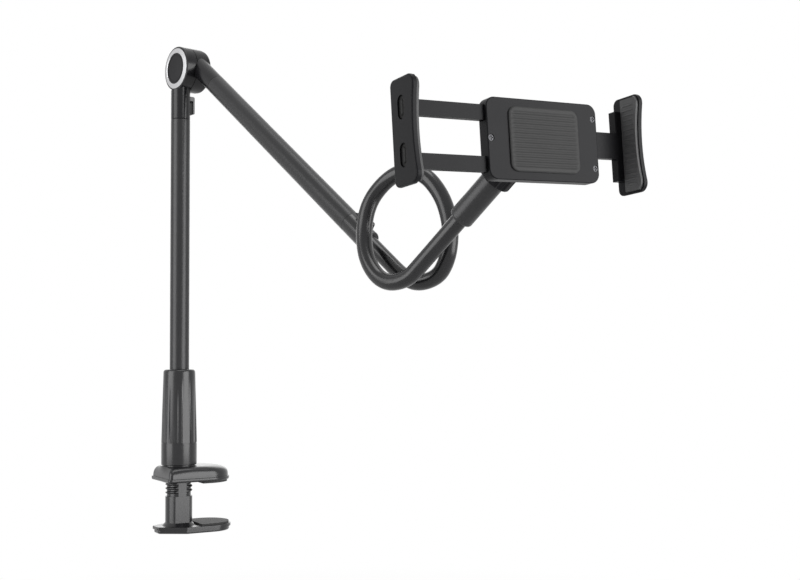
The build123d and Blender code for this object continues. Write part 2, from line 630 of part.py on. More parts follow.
def make_housing():
    """Grip's rear shell: a boss for the ball's stud and three channels for the rails."""
    half_x, half_y = HOUSING_LENGTH / 2, HOUSING_WIDTH / 2
    shell = block((-half_x, half_x), (-half_y, half_y), (HOUSING_BACK, COVER_BACK))
    shell = fillet(shell.edges().filter_by(Axis.Z), HOUSING_CORNER)
    shell = fillet(bottom_edges(shell), 2.0)
    boss = disc(BOSS_RADIUS, BOSS_BACK, HOUSING_BACK)
    boss = fillet(boss.edges().filter_by(GeomType.CIRCLE).sort_by(Axis.Z)[0], 1.0)
    shell += boss
    for width, offset, side in rail_slots():
        half = width / 2 + SLIDING
        closed_end = -side * (half_x - HOUSING_END_WALL)
        span = sorted((closed_end, side * (half_x + 1)))
        shell -= block(span, (offset - half, offset + half), (CHANNEL_FLOOR, COVER_BACK))
        peg_x = closed_end + side * SPRING_PEG_DIA
        shell += Pos(peg_x, offset, 0) * disc(SPRING_PEG_DIA / 2, CHANNEL_FLOOR, RAIL_FRONT)
    pocket = disc(STUD_FLANGE_DIA / 2 + SEAT_GAP, HOUSING_BACK, CHANNEL_FLOOR)
    shell -= pocket
    shell -= disc(STUD_DIA / 2 + RUNNING, BOSS_BACK, HOUSING_BACK)
    for x, y in screw_places():
        shell -= Pos(x, y, 0) * disc(SCREW_DIA / 2 + PLUG_FIT, CHANNEL_FLOOR, COVER_BACK)
    return put(HOLDER, shell)


def make_front_cover():
    """Front plate that closes the channels."""
    half_x, half_y = HOUSING_LENGTH / 2, HOUSING_WIDTH / 2
    plate = block((-half_x, half_x), (-half_y, half_y), (COVER_BACK, COVER_FRONT))
    plate = fillet(plate.edges().filter_by(Axis.Z), HOUSING_CORNER)
    plate = fillet(top_edges(plate), 0.7)
    for x, y in screw_places():
        plate -= Pos(x, y, 0) * disc(SCREW_DIA / 2 + PLUG_FIT, COVER_BACK, COVER_FRONT)
        plate -= Pos(x, y, 0) * disc(SCREW_HEAD_DIA / 2 + PLUG_FIT, COVER_FRONT - SCREW_HEAD_HEIGHT, COVER_FRONT)
    return put(HOLDER, plate)


def make_cover_screws():
    screws = []
    for x, y in screw_places():
        screw = disc(SCREW_DIA / 2, CHANNEL_FLOOR, COVER_FRONT - SCREW_HEAD_HEIGHT)
        head = disc(SCREW_HEAD_DIA / 2, COVER_FRONT - SCREW_HEAD_HEIGHT, COVER_FRONT - SCREW_HEAD_SINK)
        screws.append(put(HOLDER, Pos(x, y, 0) * (screw + head)))
    return Compound(screws)


def make_rest_pad():
    """Soft pad that the device leans on."""
    half_x, half_y = HOUSING_LENGTH / 2 - REST_PAD_INSET * 3, HOUSING_WIDTH / 2 - REST_PAD_INSET
    pad = block((-half_x, half_x), (-half_y, half_y), (COVER_FRONT, REST_FACE))
    pad = fillet(pad.edges().filter_by(Axis.Z), REST_PAD_CORNER)
    return put(HOLDER, pad)


def make_spring(inner, outer, y):
    """Extension spring along x between two pegs: a close-wound body, two legs and two eyes."""
    z = (RAIL_BACK + RAIL_FRONT) / 2
    low, high = sorted((inner, outer))
    length = high - low
    leg = max(SPRING_LEG, length * 0.22)
    turns = max(4, round((length - 2 * leg) / (SPRING_WIRE * 1.5)))
    pitch = (length - 2 * leg) / turns
    radius = SPRING_DIA / 2
    root = radius - SPRING_WIRE / 2
    x = low + leg
    pieces = [Line((x, 0), (x, root))]
    for index in range(turns):
        left, right = x + pitch * index, x + pitch * (index + 1)
        pieces.append(ThreePointArc((left, root), ((left + right) / 2, radius), (right, root)))
    pieces += [Line((x + pitch * turns, root), (x + pitch * turns, 0)), Line((x + pitch * turns, 0), (x, 0))]
    body = revolve(make_face(pieces), Axis.X)
    wire = rod_x(SPRING_WIRE / 2, low + SPRING_PEG_DIA / 2 + SPRING_WIRE / 2, x) + rod_x(
        SPRING_WIRE / 2, x + pitch * turns, high - SPRING_PEG_DIA / 2 - SPRING_WIRE / 2)
    eye_radius = SPRING_PEG_DIA / 2 + SPRING_WIRE / 2 + PLUG_FIT
    eyes = Pos(low, 0, 0) * Torus(eye_radius, SPRING_WIRE / 2)
    eyes += Pos(high, 0, 0) * Torus(eye_radius, SPRING_WIRE / 2)
    return put(HOLDER, Pos(0, y, z) * (body + wire + eyes))


def spring_ends(reach, side):
    """Where a jaw's spring hooks on: its rail's peg and the housing's peg."""
    rail_peg = side * (reach - RAIL_LENGTH) + side * SPRING_PEG_DIA * 1.5
    house_peg = -side * (HOUSING_LENGTH / 2 - HOUSING_END_WALL) + side * SPRING_PEG_DIA
    return rail_peg, house_peg


def make_right_spring():
    return make_spring(*spring_ends(RIGHT_REACH, 1), 0.0)


def make_left_springs():
    ends = spring_ends(LEFT_REACH, -1)
    return Compound([make_spring(*ends, SIDE_RAIL_OFFSET), make_spring(*ends, -SIDE_RAIL_OFFSET)])


def jaw_side(inset=0.0):
    """Side view of a jaw, depth by height: straight back, round corners and a waisted lip."""
    half = JAW_HEIGHT / 2 - inset
    back, front = JAW_BACK_EDGE + inset, JAW_FRONT - inset
    waist = half - JAW_TOP_ROUND
    outline = [
        Line((back, -half), (back, half)),
        Line((back, half), (front, half)),
        Line((front, half), (front, waist)),
        ThreePointArc((front, waist), (front - JAW_WAIST, 0), (front, -waist)),
        Line((front, -waist), (front, -half)),
        Line((front, -half), (back, -half)),
    ]
    face = make_face(outline)
    corners = face.vertices().filter_by(lambda v: abs(abs(v.Y) - half) < 1e-6)
    face = fillet([v for v in corners if v.X > (back + front) / 2], JAW_TOP_ROUND - 1.0)
    corners = face.vertices().filter_by(lambda v: abs(abs(v.Y) - half) < 1e-6 and abs(v.X - back) < 1e-6)
    return fillet(corners, JAW_BACK_ROUND)


def jaw_frame(reach, side):
    """Frame of a jaw's inner wall face: local x is depth, local y height, local z outwards."""
    origin = HOLDER.from_local_coords(Vector(side * (reach + JAW_PAD), 0, 0))
    return Plane(origin, x_dir=HOLDER.z_dir, z_dir=HOLDER.x_dir * side)


def slot_prism(length, width, low, high, frame_side):
    """Two obround pins through a jaw's wall, above and below its middle."""
    pins = Part()
    for y in (PAD_SLOT_OFFSET, -PAD_SLOT_OFFSET):
        shape = Pos(PAD_SLOT_DEPTH, frame_side * y) * Rot(0, 0, 90) * SlotOverall(length, width)
        pins += Pos(0, 0, low) * extrude(shape, high - low)
    return pins


def make_jaw(reach, side, rails):
    """Jaw: a waisted wall with a small lip, on the rails that slide in the housing."""
    frame = jaw_frame(reach, side)
    flip = 1 if frame.y_dir.dot(HOLDER.y_dir) > 0 else -1
    wall = extrude(jaw_side(), JAW_WALL)
    wall = fillet(top_edges(wall), FINGER_FILLET)
    lip = Pos(0, 0, -JAW_SHELL_LIP) * extrude(jaw_side(), JAW_SHELL_LIP)
    lip = lip & block((LIP_BACK + 1.0, JAW_FRONT + 1), (-JAW_HEIGHT, JAW_HEIGHT), (-JAW_SHELL_LIP, 0))
    foot_half = SIDE_RAIL_OFFSET + SIDE_RAIL_WIDTH / 2 + 2.0
    foot = block((RAIL_BACK - 1.5, RAIL_FRONT), (-foot_half, foot_half), (-JAW_FOOT - JAW_PAD, 0))
    body = wall + lip + foot
    for width, offset in rails:
        half = width / 2
        centre = flip * offset
        body += block((RAIL_BACK, RAIL_FRONT), (centre - half, centre + half), (-RAIL_LENGTH - JAW_PAD, 0))
        pocket_high = -RAIL_LENGTH - JAW_PAD + SPRING_PEG_DIA * 3
        pocket = block((RAIL_BACK + 1.0, RAIL_FRONT), (centre - half + 1.2, centre + half - 1.2),
                       (-RAIL_LENGTH - JAW_PAD, pocket_high))
        body -= pocket
        peg_at = -RAIL_LENGTH - JAW_PAD + SPRING_PEG_DIA * 1.5
        peg = Pos(RAIL_BACK, centre, peg_at) * Rot(0, 90, 0) * disc(SPRING_PEG_DIA / 2, 0, RAIL_THICKNESS)
        body += peg
    slots = slot_prism(PAD_PLUG_LENGTH + 2 * PAD_SLOT_MARGIN, PAD_PLUG_WIDTH + 2 * PAD_SLOT_MARGIN,
                       0, JAW_WALL, flip)
    return put(frame, body - slots)


def make_jaw_pad(reach, side):
    """Rubber lining of a jaw: a pad on the wall, a lip in front of the device and two plugs."""
    frame = jaw_frame(reach, side)
    flip = 1 if frame.y_dir.dot(HOLDER.y_dir) > 0 else -1
    lining = Pos(0, 0, -JAW_PAD) * extrude(jaw_side(inset=PAD_INSET), JAW_PAD)
    lining = lining & block((RAIL_FRONT + SLIDING, LIP_BACK), (-JAW_HEIGHT, JAW_HEIGHT), (-JAW_PAD, 0))
    lip = Pos(0, 0, -JAW_LIP_REACH) * extrude(jaw_side(inset=PAD_INSET / 2), JAW_LIP_REACH)
    lip = lip & block((LIP_BACK, JAW_FRONT), (-JAW_HEIGHT, JAW_HEIGHT), (-JAW_LIP_REACH, 0))
    lip -= block((LIP_BACK + 1.0, JAW_FRONT + 1), (-JAW_HEIGHT, JAW_HEIGHT), (-JAW_SHELL_LIP - SLIDING, 0))
    plugs = slot_prism(PAD_PLUG_LENGTH, PAD_PLUG_WIDTH, 0, JAW_WALL - 1.0, flip)
    return put(frame, lining + lip + plugs)


CENTRE_RAILS = [(CENTRE_RAIL_WIDTH, 0.0)]
SIDE_RAILS = [(SIDE_RAIL_WIDTH, SIDE_RAIL_OFFSET), (SIDE_RAIL_WIDTH, -SIDE_RAIL_OFFSET)]


def make_parts():
    """Every piece by its node's name."""
    return {
        "lower_jaw": make_lower_jaw(),
        "lower_pad": make_lower_pad(),
        "upper_jaw": make_upper_jaw(),
        "upper_pad": make_upper_pad(),
        "thrust_washer": make_thrust_washer(),
        "grip_nut": make_grip_nut(),
        "pole_tube": make_pole_tube(),
        "pole_foot": make_pole_foot(),
        "pole_knuckle": make_pole_knuckle(),
        "pole_clip": make_pole_clip(),
        "elbow_trim_ring": make_trim_ring(),
        "elbow_cap": make_elbow_cap(),
        "elbow_bolt": make_elbow_bolt(),
        "friction_washers": make_friction_washers(),
        "elbow_nut": make_elbow_nut(),
        "elbow_far_cap": make_far_cap(),
        "arm_knuckle": make_arm_knuckle(),
        "arm_tube": make_arm_tube(),
        "gooseneck_socket": make_gooseneck_socket(),
        "arm_clip": make_arm_clip(),
        "gooseneck": make_gooseneck(),
        "ferrule": make_ferrule(),
        "lock_nut": make_lock_nut(),
        "ball_seat": make_ball_seat(),
        "ball_stud": make_ball_stud(),
        "holder_housing": make_housing(),
        "holder_cover": make_front_cover(),
        "cover_screws": make_cover_screws(),
        "rest_pad": make_rest_pad(),
        "right_spring": make_right_spring(),
        "left_springs": make_left_springs(),
        "left_jaw": make_jaw(LEFT_REACH, -1, SIDE_RAILS),
        "left_pad": make_jaw_pad(LEFT_REACH, -1),
        "right_jaw": make_jaw(RIGHT_REACH, 1, CENTRE_RAILS),
        "right_pad": make_jaw_pad(RIGHT_REACH, 1),
    }


os.makedirs("parts", exist_ok=True)
for node, shape in make_parts().items():
    export_step(shape, f"parts/{node}.step")
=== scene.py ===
"""Looks of a desk-clamp gooseneck holder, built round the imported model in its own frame.

Sizes are in millimetres up to the last line of each shape, which turns them into the frame's metres.
"""
import logging
import math
from dataclasses import dataclass
from enum import Enum

import bpy
import numpy as np
from mathutils import Matrix, Vector


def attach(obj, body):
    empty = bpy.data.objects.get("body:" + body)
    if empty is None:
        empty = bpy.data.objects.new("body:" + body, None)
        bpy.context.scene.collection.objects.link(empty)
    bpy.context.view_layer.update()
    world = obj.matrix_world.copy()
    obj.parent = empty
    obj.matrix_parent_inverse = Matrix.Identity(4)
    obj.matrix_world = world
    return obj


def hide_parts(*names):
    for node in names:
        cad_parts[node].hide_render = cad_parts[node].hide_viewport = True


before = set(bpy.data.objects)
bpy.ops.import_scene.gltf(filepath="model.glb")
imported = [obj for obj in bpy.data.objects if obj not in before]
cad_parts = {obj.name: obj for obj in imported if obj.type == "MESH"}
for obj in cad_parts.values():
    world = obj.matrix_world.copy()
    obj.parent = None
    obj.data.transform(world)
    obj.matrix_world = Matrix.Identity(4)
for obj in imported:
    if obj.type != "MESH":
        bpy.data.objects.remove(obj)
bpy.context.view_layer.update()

LOG = logging.getLogger("holder")
MM = 0.001
FULL_TURN = 2.0 * math.pi
QUARTER_TURN = 0.5 * math.pi
TINY = 1e-6
UPWARDS = np.array([0.0, 0.0, 1.0])

# Places that several pieces share: the clamp post's axis, the elbow's pivot and axis, and the arm's drop.
POST_AXIS = (-26.0, 0.0)
ELBOW_PIVOT = (-26.0, 0.0, 381.1)
ARM_SWIVEL = math.radians(11.45)
ARM_DROP = math.radians(36.5)
ELBOW_AXIS = np.array([math.cos(ARM_SWIVEL), math.sin(ARM_SWIVEL), 0.0])


class Body(Enum):
    """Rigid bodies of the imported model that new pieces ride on."""

    LOWER_CLAMP = "lower_clamp"
    UPPER_CLAMP = "upper_clamp"
    CLAMP_NUT = "clamp_nut"
    POLE = "pole"
    ARM = "arm"
    HOLDER = "holder"
    LEFT_GRIP = "left_grip"
    RIGHT_GRIP = "right_grip"


class Slot(Enum):
    """Material slots of the record, passed along with new pieces."""

    MOULDING = "clamp_plastic"
    RUBBER = "pad_rubber"
    GOOSENECK = "gooseneck_cover"
    TRIM = "bright_trim"
    STEEL = "plated_steel"


def unit(vector: np.ndarray) -> np.ndarray:
    """Scale vectors along the last axis to length one."""
    return vector / np.linalg.norm(vector, axis=-1, keepdims=True)


def smooth_step(low: float, high: float, value: np.ndarray) -> np.ndarray:
    """Rise from zero at low to one at high, level at both ends."""
    share = np.clip((value - low) / (high - low), 0.0, 1.0)
    return share * share * (3.0 - 2.0 * share)


def full_circle(count: int) -> np.ndarray:
    """Evenly spaced angles once round, without the last, which is the first again."""
    return np.linspace(0.0, FULL_TURN, count, endpoint=False)


def round_post(radius: np.ndarray, angle: np.ndarray, height: np.ndarray) -> np.ndarray:
    """Points about the clamp post's axis, from cylinder coordinates that broadcast together.

    Args:
        radius: Distances from the axis, in millimetres.
        angle: Angles about the axis.
        height: Heights, in millimetres.

    Returns:
        Points in the shared frame, in metres.
    """
    across = POST_AXIS[0] + radius * np.cos(angle)
    along = POST_AXIS[1] + radius * np.sin(angle)
    return np.stack(np.broadcast_arrays(across, along, height), axis=2) * MM


def grid_faces(rows: int, columns: int, wrap: bool, loop: bool) -> np.ndarray:
    """Quads of a grid of points stored row by row.

    Args:
        rows: Number of rows of points.
        columns: Number of points in a row.
        wrap: Whether each row closes on itself.
        loop: Whether the last row joins the first.

    Returns:
        Vertex numbers, four to a face.
    """
    row, column = np.meshgrid(np.arange(rows if loop else rows - 1),
                              np.arange(columns if wrap else columns - 1), indexing="ij")
    below = (row + 1) % rows
    following = (column + 1) % columns
    corners = (row * columns + column, row * columns + following,
               below * columns + following, below * columns + column)
    return np.stack([corner.ravel() for corner in corners], axis=1)


def grid_uv(rows: int, columns: int) -> np.ndarray:
    """UV of a grid's points: the share of the way along a row, then the share of the way down the rows."""
    along, down = np.meshgrid(np.linspace(0.0, 1.0, columns), np.linspace(0.0, 1.0, rows))
    return np.stack([along, down], axis=2).reshape(-1, 2)


def surface(name: str, grids: list[np.ndarray], wrap: bool, capped: bool = False,
            flip: bool = False, loop: bool = False) -> bpy.types.Object:
    """Make a smooth mesh object from grids of points.

    Args:
        name: Name of the piece.
        grids: Arrays of rows by columns by three, in the shared frame.
        wrap: Whether each row closes on itself.
        capped: Whether the first and last rows are closed by one face each.
        flip: Whether the faces are turned round.
        loop: Whether the last row joins the first.

    Returns:
        The linked object, with a UV map of the two parameters.
    """
    faces: list[list[int]] = []
    start = 0
    for points in grids:
        rows, columns = points.shape[:2]
        patch = (grid_faces(rows, columns, wrap, loop) + start).tolist()
        if capped:
            first = list(range(start, start + columns))
            patch.append(first[::-1])
            patch.append([index + (rows - 1) * columns for index in first])
        faces.extend([face[::-1] for face in patch] if flip else patch)
        start += rows * columns
    mesh = bpy.data.meshes.new(name)
    mesh.from_pydata(np.vstack([points.reshape(-1, 3) for points in grids]), [], faces)
    parameters = np.vstack([grid_uv(*points.shape[:2]) for points in grids])
    indices = np.empty(len(mesh.loops), dtype=np.int32)
    mesh.loops.foreach_get("vertex_index", indices)
    uv_layer = mesh.uv_layers.new(name="UVMap")
    uv_layer.data.foreach_set("uv", parameters[indices].astype(np.float32).ravel())
    mesh.polygons.foreach_set("use_smooth", np.ones(len(mesh.polygons), dtype=bool))
    mesh.update()
    piece = bpy.data.objects.new(name, mesh)
    bpy.context.scene.collection.objects.link(piece)
    return piece


def sharpen(piece: bpy.types.Object, degrees: float) -> None:
    """Keep edges of a piece that turn by more than an angle crisp."""
    piece.data.set_sharp_from_angle(angle=math.radians(degrees))


def settle(piece: bpy.types.Object, body: Body, slot: Slot, material: bpy.types.Material,
           *replaced: str) -> None:
    """Give a new piece its body, material and the nodes that it stands for.

    Args:
        piece: The new piece.
        body: Body that it moves with.
        slot: Not used.
        material: Material of all its faces.
        *replaced: Names of CAD nodes that it hides.
    """
    piece.data.materials.append(material)
    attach(piece, body.value)
    if replaced:
        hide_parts(*replaced)
    LOG.info("piece %s on %s", piece.name, body.value)


def math_node(tree: bpy.types.NodeTree, operation: str, first: bpy.types.NodeSocket,
              second: bpy.types.NodeSocket | float) -> bpy.types.NodeSocket:
    """Add a math node.

    Args:
        tree: Node tree to add it to.
        operation: Blender's name of the operation.
        first: Socket that feeds its first input.
        second: Socket or plain number for its second input.

    Returns:
        The node's output.
    """
    node = tree.nodes.new("ShaderNodeMath")
    node.operation = operation
    tree.links.new(first, node.inputs[0])
    if isinstance(second, bpy.types.NodeSocket):
        tree.links.new(second, node.inputs[1])
    else:
        node.inputs[1].default_value = second
    return node.outputs[0]


class ShaderGroups:
    """Effects that several finishes share, each a node group built once."""

    def __init__(self) -> None:
        """Build the groups."""
        self.grain = self._grain()
        self.handling = self._handling()

    @staticmethod
    def _group(name: str, inputs: dict[str, str],
               outputs: dict[str, str]) -> tuple[bpy.types.NodeTree, bpy.types.Node, bpy.types.Node]:
        """Start a node group.

        Args:
            name: Name of the group.
            inputs: Socket name to its type.
            outputs: Socket name to its type.

        Returns:
            The tree with its input and output nodes.
        """
        tree = bpy.data.node_groups.new(name, "ShaderNodeTree")
        for direction, sockets in (("INPUT", inputs), ("OUTPUT", outputs)):
            for label, kind in sockets.items():
                tree.interface.new_socket(label, in_out=direction, socket_type=kind)
        return tree, tree.nodes.new("NodeGroupInput"), tree.nodes.new("NodeGroupOutput")

    @staticmethod
    def _noise(tree: bpy.types.NodeTree, vector: bpy.types.NodeSocket, **settings: float) -> bpy.types.Node:
        """Add a noise texture.

        Args:
            tree: Node tree to add it to.
            vector: Coordinates that it reads.
            **settings: Socket name to its value.

        Returns:
            The texture's node.
        """
        noise = tree.nodes.new("ShaderNodeTexNoise")
        for label, value in settings.items():
            noise.inputs[label].default_value = value
        tree.links.new(vector, noise.inputs["Vector"])
        return noise

    def _grain(self) -> bpy.types.NodeTree:
        """Fine moulded grain: a fine and a broad noise vary the colour, and the fine one gives the height.

        Returns:
            The group's tree.
        """
        tree, source, result = self._group(
            "moulded_grain",
            {"Vector": "NodeSocketVector", "Colour": "NodeSocketColor", "Scale": "NodeSocketFloat",
             "Spread": "NodeSocketFloat"},
            {"Colour": "NodeSocketColor", "Height": "NodeSocketFloat"})
        fine = self._noise(tree, source.outputs["Vector"], Detail=3.0, Roughness=0.6)
        tree.links.new(source.outputs["Scale"], fine.inputs["Scale"])
        broad = self._noise(tree, source.outputs["Vector"], Scale=22.0, Detail=2.0)
        both = math_node(tree, "ADD", fine.outputs["Fac"], broad.outputs["Fac"])
        centred = math_node(tree, "SUBTRACT", both, 1.0)
        swing = math_node(tree, "MULTIPLY", centred, source.outputs["Spread"])
        factor = math_node(tree, "ADD", swing, 1.0)
        tint = tree.nodes.new("ShaderNodeVectorMath")
        tint.operation = "SCALE"
        tree.links.new(source.outputs["Colour"], tint.inputs[0])
        tree.links.new(factor, tint.inputs["Scale"])
        tree.links.new(tint.outputs["Vector"], result.inputs["Colour"])
        tree.links.new(fine.outputs["Fac"], result.inputs["Height"])
        return tree

    def _handling(self) -> bpy.types.NodeTree:
        """Faint smudges and rubbed patches that shift the roughness.

        Returns:
            The group's tree.
        """
        tree, source, result = self._group(
            "handling_marks",
            {"Vector": "NodeSocketVector", "Roughness": "NodeSocketFloat", "Amount": "NodeSocketFloat"},
            {"Roughness": "NodeSocketFloat"})
        smudge = self._noise(tree, source.outputs["Vector"], Scale=38.0, Detail=5.0, Distortion=0.6)
        centred = math_node(tree, "SUBTRACT", smudge.outputs["Fac"], 0.5)
        swing = math_node(tree, "MULTIPLY", centred, source.outputs["Amount"])
        shifted = math_node(tree, "ADD", swing, source.outputs["Roughness"])
        tree.links.new(shifted, result.inputs["Roughness"])
        return tree


@dataclass(frozen=True)
class Finish:
    """A finish: its plain values and how much its surface varies, with the grain's height in metres."""

    name: str
    colour: tuple[float, float, float]
    roughness: float
    metallic: float = 0.0
    specular: float = 0.5
    grain_scale: float = 900.0
    grain_height: float = 0.00002
    spread: float = 0.12
    marks: float = 0.08
    stretch: tuple[float, float, float] = (1.0, 1.0, 1.0)

    def material(self, groups: ShaderGroups) -> bpy.types.Material:
        """Build the finish's material.

        Args:
            groups: Shared node groups.

        Returns:
            A material that reads Object coordinates only.
        """
        material = bpy.data.materials.new(self.name)
        material.use_nodes = True
        tree = material.node_tree
        shader = tree.nodes["Principled BSDF"]
        shader.inputs["Metallic"].default_value = self.metallic
        shader.inputs["Specular IOR Level"].default_value = self.specular
        place = tree.nodes.new("ShaderNodeTexCoord")
        mapping = tree.nodes.new("ShaderNodeMapping")
        mapping.inputs["Scale"].default_value = self.stretch
        tree.links.new(place.outputs["Object"], mapping.inputs["Vector"])
        grain = self._place_group(tree, groups.grain, mapping)
        grain.inputs["Colour"].default_value = (*self.colour, 1.0)
        grain.inputs["Scale"].default_value = self.grain_scale
        grain.inputs["Spread"].default_value = self.spread
        marks = self._place_group(tree, groups.handling, mapping)
        marks.inputs["Roughness"].default_value = self.roughness
        marks.inputs["Amount"].default_value = self.marks
        tree.links.new(grain.outputs["Colour"], shader.inputs["Base Color"])
        tree.links.new(marks.outputs["Roughness"], shader.inputs["Roughness"])
        bump = tree.nodes.new("ShaderNodeBump")
        bump.inputs["Distance"].default_value = self.grain_height
        tree.links.new(grain.outputs["Height"], bump.inputs["Height"])
        tree.links.new(bump.outputs["Normal"], shader.inputs["Normal"])
        return material

    @staticmethod
    def _place_group(tree: bpy.types.NodeTree, group: bpy.types.NodeTree,
                     mapping: bpy.types.Node) -> bpy.types.Node:
        """Place a shared group in a material and feed it the mapped coordinates.

        Args:
            tree: The material's node tree.
            group: The shared group.
            mapping: Node that gives the coordinates.

        Returns:
            The group's node.
        """
        node = tree.nodes.new("ShaderNodeGroup")
        node.node_tree = group
        tree.links.new(mapping.outputs["Vector"], node.inputs["Vector"])
        return node


MOULDING = Finish("satin_moulding", (0.009, 0.009, 0.010), 0.24, specular=0.40, grain_height=0.000001)
KNUCKLE_MOULDING = Finish("dark_knuckle_moulding", (0.005, 0.005, 0.006), 0.26, specular=0.27,
                          grain_height=0.000001)
GRIP_MOULDING = Finish("matte_grip_moulding", (0.007, 0.007, 0.008), 0.40, specular=0.09,
                       grain_height=0.00001)
POLE_ANODISED = Finish("pole_anodised", (0.018, 0.018, 0.019), 0.32, metallic=0.25, specular=0.36,
                       stretch=(1.0, 1.0, 0.02), grain_scale=1600.0, grain_height=0.000003)
ARM_ANODISED = Finish("arm_anodised", (0.021, 0.021, 0.022), 0.34, metallic=0.25, specular=0.32,
                      grain_scale=1600.0, grain_height=0.000003)
RUBBER = Finish("pad_rubber", (0.024, 0.024, 0.024), 0.60, specular=0.22, grain_scale=1400.0,
                grain_height=0.00003, spread=0.2)
# Lining rubber of the jaw pads and their ribs: its grey is lighter than the other rubber. That is partly the
# lining's own tone and partly a painted highlight along the pads' front lip strip.
LINING_RUBBER_WITH_PAINTED_HIGHLIGHT = Finish("lining_rubber_with_painted_highlight", (0.050, 0.050, 0.051), 0.52, specular=0.26, grain_scale=1400.0,
                       grain_height=0.00002, spread=0.2)
# Near-black rubber of the slot plugs: painted shade for the dark inside of the jaws' slots, far darker than
# the pads' own rubber.
SLOT_SHADE_RUBBER = Finish("slot_painted_shade_rubber", (0.006, 0.006, 0.006), 0.55, specular=0.16, grain_scale=1400.0,
                     grain_height=0.00002, spread=0.2)
GOOSENECK_COVER = Finish("gooseneck_cover", (0.009, 0.009, 0.010), 0.24, specular=0.34,
                         grain_scale=1200.0, grain_height=0.000001)
TRIM = Finish("bright_trim", (0.52, 0.52, 0.53), 0.30, metallic=1.0, grain_scale=2500.0,
              grain_height=0.000006, spread=0.08)
CAP = Finish("elbow_cap_face", (0.010, 0.010, 0.011), 0.42, specular=0.12, grain_height=0.00002)
BLACK_STEEL = Finish("black_oxide_steel", (0.05, 0.05, 0.053), 0.40, metallic=0.9, grain_scale=2000.0,
                     grain_height=0.000008)
STEEL = Finish("plated_steel", (0.30, 0.30, 0.31), 0.34, metallic=1.0, grain_scale=2000.0,
               grain_height=0.000008)
NYLON = Finish("nylon", (0.50, 0.50, 0.48), 0.5)


class Wardrobe:
    """Materials by finish, made when they are first asked for."""

    def __init__(self) -> None:
        """Start with the shared groups and no materials."""
        self._groups = ShaderGroups()
        self._made: dict[str, bpy.types.Material] = {}

    def get(self, finish: Finish) -> bpy.types.Material:
        """Find or make the material of a finish.

        Args:
            finish: The finish to use.

        Returns:
            Its one material.
        """
        if finish.name not in self._made:
            self._made[finish.name] = finish.material(self._groups)
        return self._made[finish.name]

    def dress(self, finish: Finish, *nodes: str) -> None:
        """Give CAD nodes a finish.

        Args:
            finish: The finish to use.
            *nodes: Names of CAD nodes.
        """
        material = self.get(finish)
        for name in nodes:
            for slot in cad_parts[name].material_slots:
                slot.material = material
            LOG.info("node %s wears %s", name, finish.name)


@dataclass
class PostThread:
    """Thread on the clamp's post: a rounded helical ridge that the post's two flats cut.

    The section's points are a distance along the post and a share of the way from root to crest.
    """

    low: float = 23.8
    high: float = 95.4
    pitch: float = 3.4
    root: float = 9.75
    crest: float = 11.05
    half_flat: float = 9.2
    section: tuple[tuple[float, float], ...] = (
        (-1.25, 0.0), (-0.42, 0.9), (-0.168, 1.0), (0.168, 1.0), (0.42, 0.9), (1.25, 0.0))
    fade_angle: float = QUARTER_TURN
    steps: int = 72

    def build(self, wardrobe: Wardrobe) -> None:
        """Carry the ridge's section along the helix.

        The angle grows evenly, height grows by one pitch in a turn, the section runs from root to crest
        and back, and where a flat is nearer than the ridge the radius stops at the flat. The ridge fades
        in over its first quarter turn and out over its last.

        Args:
            wardrobe: Materials by finish.
        """
        turns = (self.high - self.low) / self.pitch
        angle = np.linspace(0.0, FULL_TURN * turns, int(turns * self.steps) + 1)[:, None]
        fade = np.clip(np.minimum(angle, angle[-1] - angle) / self.fade_angle, 0.0, 1.0)
        along, rise = np.array(self.section).T
        limit = self.half_flat / np.maximum(np.abs(np.sin(angle)), TINY)
        radius = np.minimum(self.root + (self.crest - self.root) * rise * fade, limit)
        height = self.low + self.pitch * angle / FULL_TURN + along
        ridge = surface("post_thread", [round_post(radius, angle, height)], wrap=True, capped=True, flip=True)
        settle(ridge, Body.LOWER_CLAMP, Slot.MOULDING, wardrobe.get(MOULDING))


